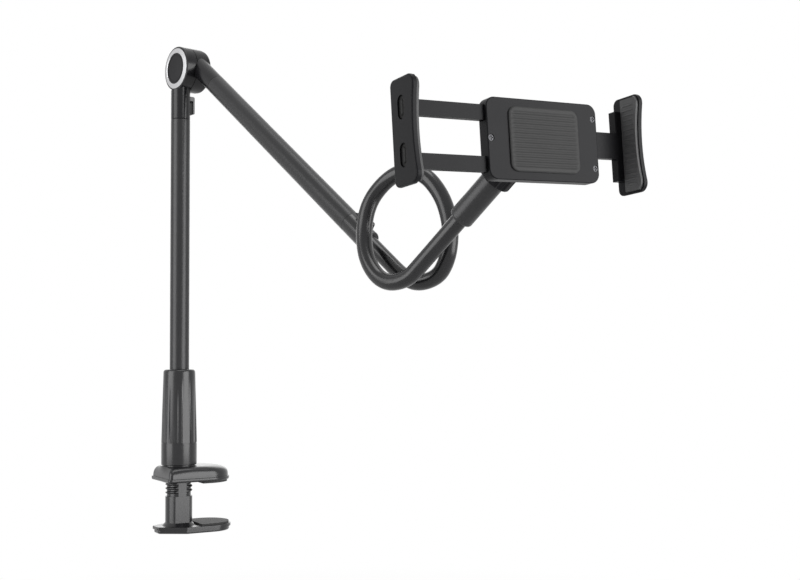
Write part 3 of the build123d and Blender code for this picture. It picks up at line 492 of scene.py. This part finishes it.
@dataclass
class UpperJaw:
    """Upper clamp jaw: a rim with a small step, and a dome that falls from the nut's seat to the rim."""

    base: float = 35.0
    step: float = 38.0
    top: float = 47.4
    half_width: float = 23.5
    back: float = 16.5
    tip_centre: float = 19.2
    corner: float = 3.0
    tier_inset: float = 1.0
    seat_radius: float = 14.6
    seat_wall: float = 0.4
    hole_radius: float = 11.35
    hole_half_flat: float = 9.55
    lower_round: float = 1.2
    rim_round: float = 0.6
    back_fullness: float = 2.1
    tip_fullness: float = 3.4
    columns: int = 480
    round_rows: int = 6
    dome_rows: int = 33
    crisp: float = 38.0

    @staticmethod
    def to_circle(ray: np.ndarray, centre: np.ndarray, radius: float) -> np.ndarray:
        """Distance along rays from the post's axis to the far side of a circle.

        Args:
            ray: Directions, one to a row.
            centre: Centre of the circle for each ray.
            radius: Radius of the circle.

        Returns:
            Distances, one to a ray.
        """
        along = np.sum(ray * centre, axis=1)
        return along + np.sqrt(np.maximum(along ** 2 - np.sum(centre ** 2, axis=1) + radius ** 2, 0.0))

    def outline(self, angle: np.ndarray, inset: float) -> np.ndarray:
        """Distance from the post's axis to the edge of the plan.

        A ray meets the nearer of the flat back and a side. Past the tip's centre it meets the tip's circle
        instead, and in a back corner the corner's arc.

        Args:
            angle: Angles about the post's axis.
            inset: How far inside the edge.

        Returns:
            Distances in millimetres.
        """
        half, back = self.half_width - inset, self.back - inset
        ray = np.stack([np.cos(angle), np.sin(angle)], axis=1)
        to_side = half / np.maximum(np.abs(ray[:, 1]), TINY)
        to_back = np.where(ray[:, 0] < 0.0, back / np.maximum(-ray[:, 0], TINY), np.inf)
        reach = np.minimum(to_side, to_back)
        hit = reach[:, None] * ray
        tip = np.broadcast_to(np.array([self.tip_centre, 0.0]), ray.shape)
        reach = np.where(hit[:, 0] > self.tip_centre, self.to_circle(ray, tip, half), reach)
        bend = np.stack([np.full(len(ray), self.corner - back),
                         np.sign(ray[:, 1]) * (half - self.corner)], axis=1)
        cornered = (hit[:, 0] < bend[:, 0]) & (np.abs(hit[:, 1]) > np.abs(bend[:, 1]))
        return np.where(cornered, self.to_circle(ray, bend, self.corner), reach)

    def build(self, wardrobe: Wardrobe) -> None:
        """Carry a closed profile round the post.

        At each angle it runs from the keyed hole out along the base, round the lower edge, up the rim and
        over its edge to the step. From there a superellipse leads up to the nut's seat: its share of the
        way out is the cosine, and its share of the rise the sine, of one parameter, both to the power of
        two over the fullness, which grows from the back to the tip. The seat leads back to the hole.

        Args:
            wardrobe: Materials by finish.
        """
        angle = full_circle(self.columns)
        rim, inner = self.outline(angle, 0.0), self.outline(angle, self.tier_inset)
        seat = np.minimum(self.seat_radius, inner - self.seat_wall)
        hole = np.minimum(self.hole_radius, self.hole_half_flat / np.maximum(np.abs(np.sin(angle)), TINY))
        bend = np.linspace(0.0, QUARTER_TURN, self.round_rows)
        rise = np.linspace(0.0, QUARTER_TURN, self.dome_rows)
        forward = 0.5 + 0.5 * np.cos(angle)
        power = 2.0 / (self.back_fullness + (self.tip_fullness - self.back_fullness) * forward)
        radius = np.vstack([hole[None, :],
                            rim - self.lower_round * (1.0 - np.sin(bend))[:, None],
                            rim - self.rim_round * (1.0 - np.cos(bend))[:, None],
                            seat + (inner - seat) * np.cos(rise).clip(0.0)[:, None] ** power,
                            hole[None, :]])
        level = np.concatenate([[self.base], self.base + self.lower_round * (1.0 - np.cos(bend)),
                                self.step - self.rim_round * (1.0 - np.sin(bend))])
        height = np.vstack([np.broadcast_to(level[:, None], (len(level), self.columns)),
                            self.step + (self.top - self.step) * np.sin(rise)[:, None] ** power,
                            np.full((1, self.columns), self.top)])
        jaw = surface("domed_upper_jaw", [round_post(radius, angle, height)], wrap=True, loop=True)
        sharpen(jaw, self.crisp)
        settle(jaw, Body.UPPER_CLAMP, Slot.MOULDING, wardrobe.get(MOULDING), "upper_jaw")


@dataclass
class GripNut:
    """Tapered grip nut with shallow flutes in its wall that fade out above and end at the collar's groove."""

    base: float = 48.2
    collar_top: float = 65.8
    top: float = 127.2
    collar_radius: float = 14.6
    top_radius: float = 13.05
    top_round: float = 2.4
    foot_round: float = 0.6
    bore_radius: float = 11.35
    mouth_radius: float = 8.3
    roof: float = 5.0
    flutes: int = 8
    flute_phase: float = math.radians(6.5)
    flute_half_width: float = math.radians(15.0)
    flute_edge: float = math.radians(2.0)
    flute_depth: float = 0.85
    flute_crown: float = 0.36
    flute_fade: float = 7.0
    groove_height: float = 0.6
    groove_depth: float = 0.35
    columns: int = 576
    round_rows: int = 7
    wall_rows: int = 64
    crisp: float = 24.0

    def taper(self, height: np.ndarray) -> np.ndarray:
        """Plain radius above the collar, which falls evenly to the top."""
        share = (height - self.collar_top) / (self.top - self.collar_top)
        return self.collar_radius + (self.top_radius - self.collar_radius) * share

    def fluted(self, angle: np.ndarray, height: np.ndarray) -> np.ndarray:
        """Radius of the fluted wall.

        A flute is a band of the plain wall set in by its depth plus a crown that falls off with the square
        of the angle from the flute's middle. Both fall evenly to nothing at the flute's upper end, and a
        smooth step over the edge's angle joins the flute to the plain wall on each side.

        Args:
            angle: Angles about the post's axis.
            height: Heights of the rows.

        Returns:
            Radii, rows by columns.
        """
        plain = self.taper(height)[:, None]
        end = self.top - self.flute_fade
        share = np.clip((end - height) / (end - self.collar_top), 0.0, 1.0)[:, None]
        spacing = FULL_TURN / self.flutes
        off = np.abs((angle - self.flute_phase + 0.5 * spacing) % spacing - 0.5 * spacing)
        crown = self.flute_crown * np.clip(1.0 - (off / self.flute_half_width) ** 2, 0.0, 1.0)
        inside = smooth_step(self.flute_half_width + self.flute_edge,
                             self.flute_half_width - self.flute_edge, off)
        return plain - (self.flute_depth + crown) * share * inside

    def build(self, wardrobe: Wardrobe) -> None:
        """Carry a closed profile round the post.

        It runs from the bore out along the foot, round its edge, up the collar, into the groove, up the
        fluted wall, over the round top to the mouth, down through the roof and back to the bore.

        Args:
            wardrobe: Materials by finish.
        """
        angle = full_circle(self.columns)
        bend = np.linspace(0.0, QUARTER_TURN, self.round_rows)
        wall = np.linspace(self.collar_top + self.groove_height, self.top - self.top_round, self.wall_rows)
        foot = self.collar_radius - self.foot_round * (1.0 - np.sin(bend))
        groove = self.collar_radius - self.groove_depth
        shoulder = self.taper(wall[-1:]) - self.top_round * (1.0 - np.cos(bend[1:]))
        under_roof = self.top - self.roof
        below = np.concatenate([[self.bore_radius], foot, [self.collar_radius, groove, groove]])
        above = np.concatenate([shoulder, [self.mouth_radius, self.mouth_radius, self.bore_radius]])
        radius = np.vstack([np.broadcast_to(below[:, None], (len(below), self.columns)),
                            self.fluted(angle, wall),
                            np.broadcast_to(above[:, None], (len(above), self.columns))])
        height = np.concatenate([[self.base], self.base + self.foot_round * (1.0 - np.cos(bend)),
                                 [self.collar_top, self.collar_top, wall[0]], wall,
                                 self.top - self.top_round * (1.0 - np.sin(bend[1:])),
                                 [self.top, under_roof, under_roof]])
        nut = surface("panelled_nut", [round_post(radius, angle, height[:, None])], wrap=True, loop=True)
        sharpen(nut, self.crisp)
        settle(nut, Body.CLAMP_NUT, Slot.MOULDING, wardrobe.get(MOULDING), "grip_nut")


@dataclass
class Gooseneck:
    """Gooseneck's cover: a smooth tube along the route that the part's source gives, from the arm's mouth.

    The route's points are along the arm, under it and along the elbow's axis.
    """

    mouth: float = 287.0
    offset: float = 8.2
    plane: float = 10.5
    radius: float = 5.5
    route: tuple[tuple[float, float, float], ...] = (
        (-18.9, 0.0, 0.0), (20.0, 0.0, 0.0), (42.6, 0.0, 0.0), (58.5, -3.7, -0.4), (68.4, -15.9, 4.5),
        (70.7, -30.4, 3.0), (65.1, -42.8, 3.5), (54.5, -52.4, 5.5), (37.5, -61.3, 6.3), (17.7, -65.8, 3.2),
        (1.7, -58.3, -1.0), (-5.6, -44.5, -5.2), (-3.8, -27.5, -12.3), (9.0, -10.2, -16.8),
        (29.2, -0.1, -21.7), (51.1, 1.7, -21.6), (66.3, -11.1, -18.7))
    ball: tuple[float, float, float] = (91.7, -124.6, -3.8)
    last_runs: tuple[float, ...] = (0.14, 0.62)
    spline_order: int = 3
    spline_resolution: int = 14
    sides: int = 40

    def control_points(self) -> np.ndarray:
        """Route in the shared frame, with two more points on its last straight run.

        Returns:
            Control points, one to a row, in metres.
        """
        last = np.array(self.route[-1])
        more = [last + (np.array(self.ball) - last) * share for share in self.last_runs]
        local = np.vstack([np.array(self.route), *more])
        heading = np.array([math.sin(ARM_SWIVEL), -math.cos(ARM_SWIVEL), 0.0])
        arm = heading * math.cos(ARM_DROP) - UPWARDS * math.sin(ARM_DROP)
        under = np.cross(ELBOW_AXIS, arm)
        start = np.array(ELBOW_PIVOT) + arm * self.mouth - under * self.offset + ELBOW_AXIS * self.plane
        return (start + local @ np.stack([arm, under, ELBOW_AXIS])) * MM

    def centre_line(self) -> np.ndarray:
        """Read points from the route's smooth spline.

        Returns:
            Points along the spline, one to a row, in metres.
        """
        curve = bpy.data.curves.new("gooseneck_route", "CURVE")
        curve.dimensions = "3D"
        spline = curve.splines.new("NURBS")
        control = self.control_points()
        spline.points.add(len(control) - 1)
        spline.points.foreach_set("co", np.hstack([control, np.ones((len(control), 1))]).ravel())
        spline.order_u = self.spline_order
        spline.use_endpoint_u = True
        spline.resolution_u = self.spline_resolution
        carrier = bpy.data.objects.new("gooseneck_route", curve)
        bpy.context.scene.collection.objects.link(carrier)
        bpy.context.view_layer.update()
        evaluated = carrier.evaluated_get(bpy.context.evaluated_depsgraph_get())
        line = bpy.data.meshes.new_from_object(evaluated)
        points = np.empty(len(line.vertices) * 3)
        line.vertices.foreach_get("co", points)
        bpy.data.objects.remove(carrier)
        bpy.data.curves.remove(curve)
        bpy.data.meshes.remove(line)
        return points.reshape(-1, 3)

    def build(self, wardrobe: Wardrobe) -> None:
        """Carry a circle along the centre line, with its first direction carried on by least turning.

        Args:
            wardrobe: Materials by finish.
        """
        line = self.centre_line()
        tangent = unit(np.gradient(line, axis=0))
        side = np.empty_like(tangent)
        side[0] = unit(np.cross(tangent[0], UPWARDS))
        for index in range(1, len(line)):
            side[index] = unit(side[index - 1] - tangent[index] * (side[index - 1] @ tangent[index]))
        other = np.cross(tangent, side)
        angle = full_circle(self.sides)[None, :, None]
        ring = side[:, None, :] * np.cos(angle) + other[:, None, :] * np.sin(angle)
        points = line[:, None, :] + ring * self.radius * MM
        tube = surface("gooseneck_cover", [points], wrap=True, capped=True)
        settle(tube, Body.ARM, Slot.GOOSENECK, wardrobe.get(GOOSENECK_COVER), "gooseneck")


@dataclass
class ElbowFace:
    """Near face of the elbow: a bright cone-shaped ring that rises to a dark dished cap.

    Distances along the elbow's axis grow into the elbow. The rim's bevel and the lip are a width and a
    depth, and the cap's profile is an inset from its edge and a depth below its front.
    """

    hub_face: float = -4.7
    hub_gap: float = 0.02
    recess_floor: float = -2.7
    recess_radius: float = 16.6
    ring_outer: float = 17.0
    ring_inner: float = 13.0
    ring_rise: float = 0.9
    rim_height: float = 0.14
    rim_bevel: tuple[float, float] = (0.14, 0.12)
    lip: tuple[float, float] = (0.3, 0.12)
    cap_radius: float = 12.9
    cap_sink: float = 0.3
    cap_profile: tuple[tuple[float, float], ...] = (
        (0.0, 0.35), (0.12, 0.1), (0.4, 0.0), (1.5, 0.0), (1.6, 0.22), (1.9, 0.22), (2.0, 0.02),
        (6.0, 0.18), (12.3, 0.25), (12.88, 0.25))
    sides: int = 128
    ring_crisp: float = 25.0
    cap_crisp: float = 32.0

    def revolve(self, profile: list[tuple[float, float]]) -> np.ndarray:
        """Turn a profile once round the elbow's axis.

        Args:
            profile: Radius and distance along the axis of each point.

        Returns:
            Points in the shared frame, in metres.
        """
        radius, along = np.array(profile).T[:, :, None, None]
        across = np.array([-ELBOW_AXIS[1], ELBOW_AXIS[0], 0.0])
        angle = full_circle(self.sides)[:, None]
        spokes = across * np.cos(angle) + UPWARDS * np.sin(angle)
        return (np.array(ELBOW_PIVOT) + radius * spokes + along * ELBOW_AXIS) * MM

    def ring(self, wardrobe: Wardrobe) -> None:
        """Closed section: seat in the recess, thin rim on the hub, cone up to the inner edge, then back.

        Args:
            wardrobe: Materials by finish.
        """
        seat = self.hub_face - self.hub_gap
        rim = self.hub_face - self.rim_height
        front = self.hub_face - self.ring_rise
        profile = [(self.recess_radius, self.recess_floor), (self.recess_radius, seat),
                   (self.ring_outer, seat), (self.ring_outer, rim),
                   (self.ring_outer - self.rim_bevel[0], rim - self.rim_bevel[1]),
                   (self.ring_inner + self.lip[0], front), (self.ring_inner, front + self.lip[1]),
                   (self.ring_inner, self.recess_floor)]
        piece = surface("elbow_bevelled_ring", [self.revolve(profile)], wrap=True, loop=True, flip=True)
        sharpen(piece, self.ring_crisp)
        settle(piece, Body.POLE, Slot.TRIM, wardrobe.get(TRIM), "elbow_trim_ring")

    def cap(self, wardrobe: Wardrobe) -> None:
        """Disc just below the ring's edge with a rounded rim, a fine groove and a slightly dished middle.

        Args:
            wardrobe: Materials by finish.
        """
        front = self.hub_face - self.ring_rise + self.cap_sink
        profile = [(self.cap_radius, self.recess_floor)]
        profile += [(self.cap_radius - inset, front + depth) for inset, depth in self.cap_profile]
        piece = surface("elbow_dished_cap", [self.revolve(profile)], wrap=True, capped=True, flip=True)
        sharpen(piece, self.cap_crisp)
        settle(piece, Body.POLE, Slot.MOULDING, wardrobe.get(CAP), "elbow_cap")

    def build(self, wardrobe: Wardrobe) -> None:
        """Make the ring and the cap."""
        self.ring(wardrobe)
        self.cap(wardrobe)


@dataclass(frozen=True)
class GripFrame:
    """The grip's own frame at the ball: across its length, up its height and out of its front."""

    ball: tuple[float, float, float] = (56.679, -374.452, 262.593)
    lean: float = math.radians(2.0)
    roll: float = math.radians(2.0)

    def place(self, across: np.ndarray, up: np.ndarray, out: np.ndarray) -> np.ndarray:
        """Put points of the grip's frame into the shared frame.

        Args:
            across: Distances along the grip, in millimetres from the ball.
            up: Distances up the grip.
            out: Distances out of its front.

        Returns:
            Points in metres, in the shape that the three broadcast to.
        """
        facing = np.array([0.0, -math.cos(self.lean), math.sin(self.lean)])
        level = np.array([0.0, math.sin(self.lean), math.cos(self.lean)])
        along = np.array([math.cos(self.roll), 0.0, 0.0]) + level * math.sin(self.roll)
        rise = np.cross(facing, along)
        local = np.stack(np.broadcast_arrays(across, up, out), axis=-1)
        return (np.array(self.ball) + local @ np.stack([along, rise, facing])) * MM


@dataclass(frozen=True)
class Jaw:
    """One jaw of the grip: its name, its inner face, the side that it stands on and its body."""

    name: str
    face: float
    side: float
    body: Body


GRIP = GripFrame()
JAWS = (Jaw("left", -93.4, -1.0, Body.LEFT_GRIP), Jaw("right", 61.5, 1.0, Body.RIGHT_GRIP))


@dataclass
class RestPad:
    """Ribbed rubber pad on the grip's front, with a plain border inside a rounded edge."""

    cover_front: float = 22.4
    face: float = 23.6
    half_length: float = 25.0
    half_width: float = 19.0
    corner: float = 5.0
    rib_pitch: float = 2.8
    rib_depth: float = 0.5
    border: tuple[float, float] = (1.6, 2.6)
    edge_drop: float = 0.45
    edge_width: float = 0.7
    front_share: float = 0.985
    rows: int = 169
    front_columns: int = 41
    crisp: float = 50.0

    def build(self, wardrobe: Wardrobe) -> None:
        """Lay rows across the pad at each height, narrowed in the corners' arcs.

        The front lies at the face and dips by the rib depth times half of one minus the cosine of the
        height over the pitch, inside the border, and rounds off at its edges. Each row's ends stand on the
        cover.

        Args:
            wardrobe: Materials by finish.
        """
        up = np.linspace(-self.half_width, self.half_width, self.rows)
        past = np.clip(np.abs(up) - (self.half_width - self.corner), 0.0, self.corner)
        half = (self.half_length - self.corner + np.sqrt(self.corner ** 2 - past ** 2))[:, None]
        front = np.linspace(-self.front_share, self.front_share, self.front_columns)
        across = half * np.concatenate([[-1.0, -1.0], front, [1.0, 1.0]])
        inside = np.minimum(half - np.abs(across), self.half_width - np.abs(up)[:, None])
        wave = 0.5 - 0.5 * np.cos(FULL_TURN * up / self.rib_pitch)
        dip = self.rib_depth * smooth_step(*self.border, inside) * wave[:, None]
        out = self.face - dip - self.edge_drop * (1.0 - smooth_step(0.0, self.edge_width, inside))
        out[:, [0, -1]] = self.cover_front
        pad = surface("ribbed_rest_pad", [GRIP.place(across, up[:, None], out)], wrap=True, capped=True)
        sharpen(pad, self.crisp)
        settle(pad, Body.HOLDER, Slot.RUBBER, wardrobe.get(RUBBER), "rest_pad")


@dataclass
class CoverScrews:
    """The three cross-recess screws in the grip's front cover, as one piece."""

    places: tuple[tuple[float, float], ...] = ((-37.5, 0.0), (37.5, 15.0), (37.5, -15.0))
    pole_radius: float = 0.02
    head_radius: float = 2.0
    head_round: float = 0.12
    head_top: float = 22.1
    head_crown: float = 0.14
    head_edge: float = 21.85
    head_seat: float = 21.1
    shank_radius: float = 1.1
    shank_end: float = 15.7
    bar_half_width: float = 0.30
    bar_half_length: float = 1.15
    recess_depth: float = 0.55
    recess_wall: tuple[float, float] = (0.7, 1.25)
    head_rings: int = 26
    sides: int = 72
    crisp: float = 40.0

    def screw(self, middle: tuple[float, float]) -> np.ndarray:
        """One screw as rings from the middle of its head to the end of its shank.

        The head is a shallow dome, sunk where either of two crossing bars covers it, with sloping walls.

        Args:
            middle: Where it stands, across and up the grip.

        Returns:
            Points in metres, rings by sides.
        """
        angle = full_circle(self.sides)
        head = np.linspace(self.pole_radius, self.head_radius - self.head_round, self.head_rings)
        radius = np.concatenate([head, [self.head_radius, self.head_radius, self.shank_radius,
                                        self.shank_radius, self.pole_radius]])[:, None]
        x, y = radius * np.cos(angle), radius * np.sin(angle)
        upright = np.maximum(np.abs(x) / self.bar_half_width, np.abs(y) / self.bar_half_length)
        level = np.maximum(np.abs(y) / self.bar_half_width, np.abs(x) / self.bar_half_length)
        sunk = 1.0 - smooth_step(*self.recess_wall, np.minimum(upright, level))
        out = self.head_top - self.head_crown * (radius / self.head_radius) ** 2 - self.recess_depth * sunk
        out[self.head_rings:] = np.array([self.head_edge, self.head_seat, self.head_seat,
                                          self.shank_end, self.shank_end])[:, None]
        return GRIP.place(x + middle[0], y + middle[1], out)

    def build(self, wardrobe: Wardrobe) -> None:
        """Make the screws in their places.

        Args:
            wardrobe: Materials by finish.
        """
        grids = [self.screw(place) for place in self.places]
        piece = surface("cross_recess_screws", grids, wrap=True, capped=True, flip=True)
        sharpen(piece, self.crisp)
        settle(piece, Body.HOLDER, Slot.STEEL, wardrobe.get(BLACK_STEEL), "cover_screws")


@dataclass
class JawLinings:
    """Low ribs across the rubber linings of both jaws."""

    middle: float = 26.5
    half_length: float = 5.1
    half_width: float = 0.65
    end_width: float = 0.4
    end_power: int = 8
    height: float = 0.36
    sink: float = 0.04
    reach: float = 24.0
    count: int = 17
    rows: int = 13
    columns: int = 9

    def rib(self, jaw: Jaw, level: float) -> np.ndarray:
        """One half-round rib: its height follows half a sine, and falls off at its ends.

        Args:
            jaw: Jaw that it stands on.
            level: How far up the grip it lies.

        Returns:
            Points in metres, rows by columns.
        """
        along = np.linspace(-self.half_length, self.half_length, self.rows)[:, None]
        turn = np.linspace(0.0, math.pi, self.columns)
        taper = np.sqrt(np.clip(1.0 - (along / self.half_length) ** self.end_power, 0.0, 1.0))
        up = level - self.half_width * np.cos(turn) * (self.end_width + (1.0 - self.end_width) * taper)
        across = jaw.face - jaw.side * (self.height * np.sin(turn) * taper - self.sink)
        return GRIP.place(across, up, self.middle + along)

    def build(self, wardrobe: Wardrobe) -> None:
        """Make the ribs of each jaw as one piece.

        Args:
            wardrobe: Materials by finish.
        """
        for jaw in JAWS:
            ribs = [self.rib(jaw, level) for level in np.linspace(-self.reach, self.reach, self.count)]
            piece = surface(f"{jaw.name}_lining_ribs", ribs, wrap=True, capped=True, flip=jaw.side > 0.0)
            # The ribs wear the lining rubber, whose lighter grey is partly a painted highlight.
            settle(piece, jaw.body, Slot.RUBBER, wardrobe.get(LINING_RUBBER_WITH_PAINTED_HIGHLIGHT))


@dataclass
class SlotPlugs:
    """Rubber plugs that show in the slots of both jaws' outer walls; their near-black colour is painted shade
    for the dark inside of the slots.

    Each ring of a plug is a radius, half the length of its straight part and a level over the floor.
    """

    floor: float = 2.94
    middle: float = 23.9
    heights: tuple[float, ...] = (13.2, -13.2)
    rings: tuple[tuple[float, float, float], ...] = (
        (0.02, 3.2, 0.72), (0.5, 3.2, 0.70), (0.85, 3.2, 0.62), (1.05, 3.2, 0.45), (1.2, 3.2, 0.15),
        (1.35, 3.1, 0.04), (2.2, 3.1, 0.0), (3.0, 3.1, 0.0), (3.6, 3.1, 0.0), (3.6, 3.1, -0.3))
    sides: int = 64

    def plug(self, jaw: Jaw, height: float) -> np.ndarray:
        """One plug as rings of an obround, level at the rim, with a raised bar in its middle.

        An obround ring is a line of half its straight length moved outwards by the ring's radius. Its level
        falls from the bar's crown to the floor over a rounded shoulder.

        Args:
            jaw: Jaw that it fills a slot of.
            height: How far up the grip it lies.

        Returns:
            Points in metres, rings by sides.
        """
        angle = full_circle(self.sides)
        radius, straight, level = np.array(self.rings).T[:, :, None]
        up = height + radius * np.sin(angle) + straight * np.sign(np.sin(angle))
        across = jaw.face + jaw.side * (self.floor + level)
        return GRIP.place(across, up, self.middle + radius * np.cos(angle))

    def build(self, wardrobe: Wardrobe) -> None:
        """Make the plugs of each jaw as one piece.

        Args:
            wardrobe: Materials by finish.
        """
        for jaw in JAWS:
            plugs = [self.plug(jaw, height) for height in self.heights]
            piece = surface(f"{jaw.name}_slot_plugs", plugs, wrap=True, capped=True, flip=jaw.side < 0.0)
            # The plugs' near-black rubber is painted shade of the slots' insides.
            settle(piece, jaw.body, Slot.RUBBER, wardrobe.get(SLOT_SHADE_RUBBER))


@dataclass(frozen=True)
class Lamp:
    """Rectangular soft light: where it stands, its width and height in metres, and its watts."""

    name: str
    place: tuple[float, float, float]
    size: tuple[float, float]
    power: float

    def build(self, target: tuple[float, float, float]) -> None:
        """Add the light.

        Args:
            target: Point that it faces.
        """
        data = bpy.data.lights.new(self.name, "AREA")
        data.shape = "RECTANGLE"
        data.size, data.size_y = self.size
        data.energy = self.power
        lamp = bpy.data.objects.new(self.name, data)
        lamp.location = self.place
        lamp.rotation_euler = (Vector(target) - Vector(self.place)).to_track_quat("-Z", "Y").to_euler()
        bpy.context.scene.collection.objects.link(lamp)


@dataclass
class Studio:
    """Camera, soft lights, pale floor and white surround, in metres, with the focal length in pixels.

    The floor's fade is two distances from its middle and the share of white to the eye at each.
    """

    place: tuple[float, float, float] = (-0.3586, -0.9460, 0.1392)
    heading: float = math.radians(30.0)
    pitch: float = math.radians(3.1)
    roll: float = math.radians(0.316)
    focal: float = 1175.25
    width: float = 800.0
    sensor: float = 36.0
    nearest: float = 0.01
    soft_light: float = 0.20
    floor_height: float = -0.30
    floor_half_size: float = 12.0
    floor_grey: float = 0.9
    floor_fade: tuple[float, float, float, float] = (0.8, 1.5, 0.85, 1.0)
    aim: tuple[float, float, float] = (0.02, -0.2, 0.2)
    lamps: tuple[Lamp, ...] = (
        Lamp("left_panel", (-1.43, -0.17, 0.45), (1.1, 1.4), 21.0),
        Lamp("right_panel", (0.76, -1.39, 0.36), (1.2, 1.25), 27.0),
        Lamp("rear_panel", (0.7, 1.5, 0.7), (1.2, 1.2), 4.5),
        Lamp("top", (0.1, -0.3, 1.6), (0.7, 0.7), 6.5))

    def camera(self) -> None:
        """Place the camera from its heading, pitch and roll."""
        right = np.array([math.cos(self.heading), -math.sin(self.heading), 0.0])
        away = np.array([math.sin(self.heading), math.cos(self.heading), 0.0])
        lift = UPWARDS * math.cos(self.pitch) - away * math.sin(self.pitch)
        forward = UPWARDS * math.sin(self.pitch) + away * math.cos(self.pitch)
        across = right * math.cos(self.roll) - lift * math.sin(self.roll)
        upright = right * math.sin(self.roll) + lift * math.cos(self.roll)
        data = bpy.data.cameras.new("camera")
        data.sensor_fit = "HORIZONTAL"
        data.sensor_width = self.sensor
        data.lens = self.sensor * self.focal / self.width
        data.clip_start = self.nearest
        camera = bpy.data.objects.new("camera", data)
        turned = Matrix(np.column_stack([across, upright, -forward]).tolist())
        camera.matrix_world = Matrix.LocRotScale(Vector(self.place), turned.to_quaternion(), None)
        bpy.context.scene.collection.objects.link(camera)
        bpy.context.scene.camera = camera

    @staticmethod
    def seen_rays(tree: bpy.types.NodeTree) -> bpy.types.NodeSocket:
        """Value that is one for camera, glossy and transmission rays.

        Args:
            tree: Node tree to add it to.

        Returns:
            The value's socket.
        """
        path = tree.nodes.new("ShaderNodeLightPath")
        first = math_node(tree, "MAXIMUM", path.outputs["Is Camera Ray"], path.outputs["Is Glossy Ray"])
        return math_node(tree, "MAXIMUM", first, path.outputs["Is Transmission Ray"])

    def surround(self) -> None:
        """White to the eye and in reflections, and a plain level of soft light on the object."""
        world = bpy.data.worlds.new("surround")
        bpy.context.scene.world = world
        world.use_nodes = True
        tree = world.node_tree
        tree.nodes.clear()
        output = tree.nodes.new("ShaderNodeOutputWorld")
        mix = tree.nodes.new("ShaderNodeMixShader")
        soft = tree.nodes.new("ShaderNodeBackground")
        soft.inputs["Strength"].default_value = self.soft_light
        seen = tree.nodes.new("ShaderNodeBackground")
        seen.inputs["Color"].default_value = (1.0, 1.0, 1.0, 1.0)
        seen.inputs["Strength"].default_value = 1.0
        tree.links.new(self.seen_rays(tree), mix.inputs["Fac"])
        tree.links.new(soft.outputs[0], mix.inputs[1])
        tree.links.new(seen.outputs[0], mix.inputs[2])
        tree.links.new(mix.outputs[0], output.inputs["Surface"])

    def floor_material(self) -> bpy.types.Material:
        """Pale diffuse floor, mixed with white to the eye by a share that grows with distance.

        Returns:
            The floor's material.
        """
        material = bpy.data.materials.new("pale_floor")
        material.use_nodes = True
        tree = material.node_tree
        tree.nodes.clear()
        output = tree.nodes.new("ShaderNodeOutputMaterial")
        diffuse = tree.nodes.new("ShaderNodeBsdfDiffuse")
        diffuse.inputs["Color"].default_value = (self.floor_grey, self.floor_grey, self.floor_grey, 1.0)
        white = tree.nodes.new("ShaderNodeEmission")
        white.inputs["Strength"].default_value = 1.0
        place = tree.nodes.new("ShaderNodeTexCoord")
        distance = tree.nodes.new("ShaderNodeVectorMath")
        distance.operation = "LENGTH"
        tree.links.new(place.outputs["Object"], distance.inputs[0])
        fade = tree.nodes.new("ShaderNodeMapRange")
        for socket, value in zip(("From Min", "From Max", "To Min", "To Max"), self.floor_fade):
            fade.inputs[socket].default_value = value
        tree.links.new(distance.outputs["Value"], fade.inputs["Value"])
        share = math_node(tree, "MULTIPLY", self.seen_rays(tree), fade.outputs["Result"])
        mix = tree.nodes.new("ShaderNodeMixShader")
        tree.links.new(share, mix.inputs["Fac"])
        tree.links.new(diffuse.outputs[0], mix.inputs[1])
        tree.links.new(white.outputs[0], mix.inputs[2])
        tree.links.new(mix.outputs[0], output.inputs["Surface"])
        return material

    def floor(self) -> None:
        """Pale floor well below the clamp, mostly white to the eye so that only a shadow marks it."""
        span = np.array([-self.floor_half_size, self.floor_half_size])
        points = np.stack(np.broadcast_arrays(span[None, :], span[:, None], self.floor_height), axis=2)
        plane = surface("floor", [points], wrap=False)
        plane.data.materials.append(self.floor_material())

    def build(self) -> None:
        """Set the view transform and put everything in place."""
        bpy.context.scene.view_settings.view_transform = "Standard"
        self.camera()
        self.surround()
        self.floor()
        for lamp in self.lamps:
            lamp.build(self.aim)


def dress_nodes(wardrobe: Wardrobe) -> None:
    """Give every CAD node its finish.

    Args:
        wardrobe: Materials by finish.
    """
    wardrobe.dress(MOULDING, "lower_jaw", "upper_jaw", "grip_nut", "gooseneck_socket", "pole_clip",
                   "arm_clip", "pole_foot", "thrust_washer")
    wardrobe.dress(KNUCKLE_MOULDING, "pole_knuckle", "arm_knuckle", "elbow_far_cap")
    wardrobe.dress(CAP, "elbow_cap")
    wardrobe.dress(POLE_ANODISED, "pole_tube")
    wardrobe.dress(ARM_ANODISED, "arm_tube", "ferrule")
    wardrobe.dress(GOOSENECK_COVER, "gooseneck")
    wardrobe.dress(TRIM, "elbow_trim_ring")
    wardrobe.dress(BLACK_STEEL, "cover_screws")
    wardrobe.dress(STEEL, "elbow_bolt", "elbow_nut", "right_spring", "left_springs", "ball_stud")
    wardrobe.dress(NYLON, "friction_washers", "ball_seat")
    wardrobe.dress(GRIP_MOULDING, "lock_nut", "holder_housing", "holder_cover", "left_jaw", "right_jaw")
    wardrobe.dress(RUBBER, "lower_pad", "upper_pad", "rest_pad")
    # The pads' lighter lining grey is partly a painted highlight along their front lip strip.
    wardrobe.dress(LINING_RUBBER_WITH_PAINTED_HIGHLIGHT, "left_pad", "right_pad")


def main() -> None:
    """Build the studio, the finishes and the pieces in order."""
    logging.basicConfig(level=logging.INFO)
    Studio().build()
    wardrobe = Wardrobe()
    dress_nodes(wardrobe)
    for assembly in (Gooseneck(), PostThread(), UpperJaw(), GripNut(), ElbowFace(), RestPad(), CoverScrews(),
                     JawLinings(), SlotPlugs()):
        assembly.build(wardrobe)


if __name__ == "__main__":
    main()
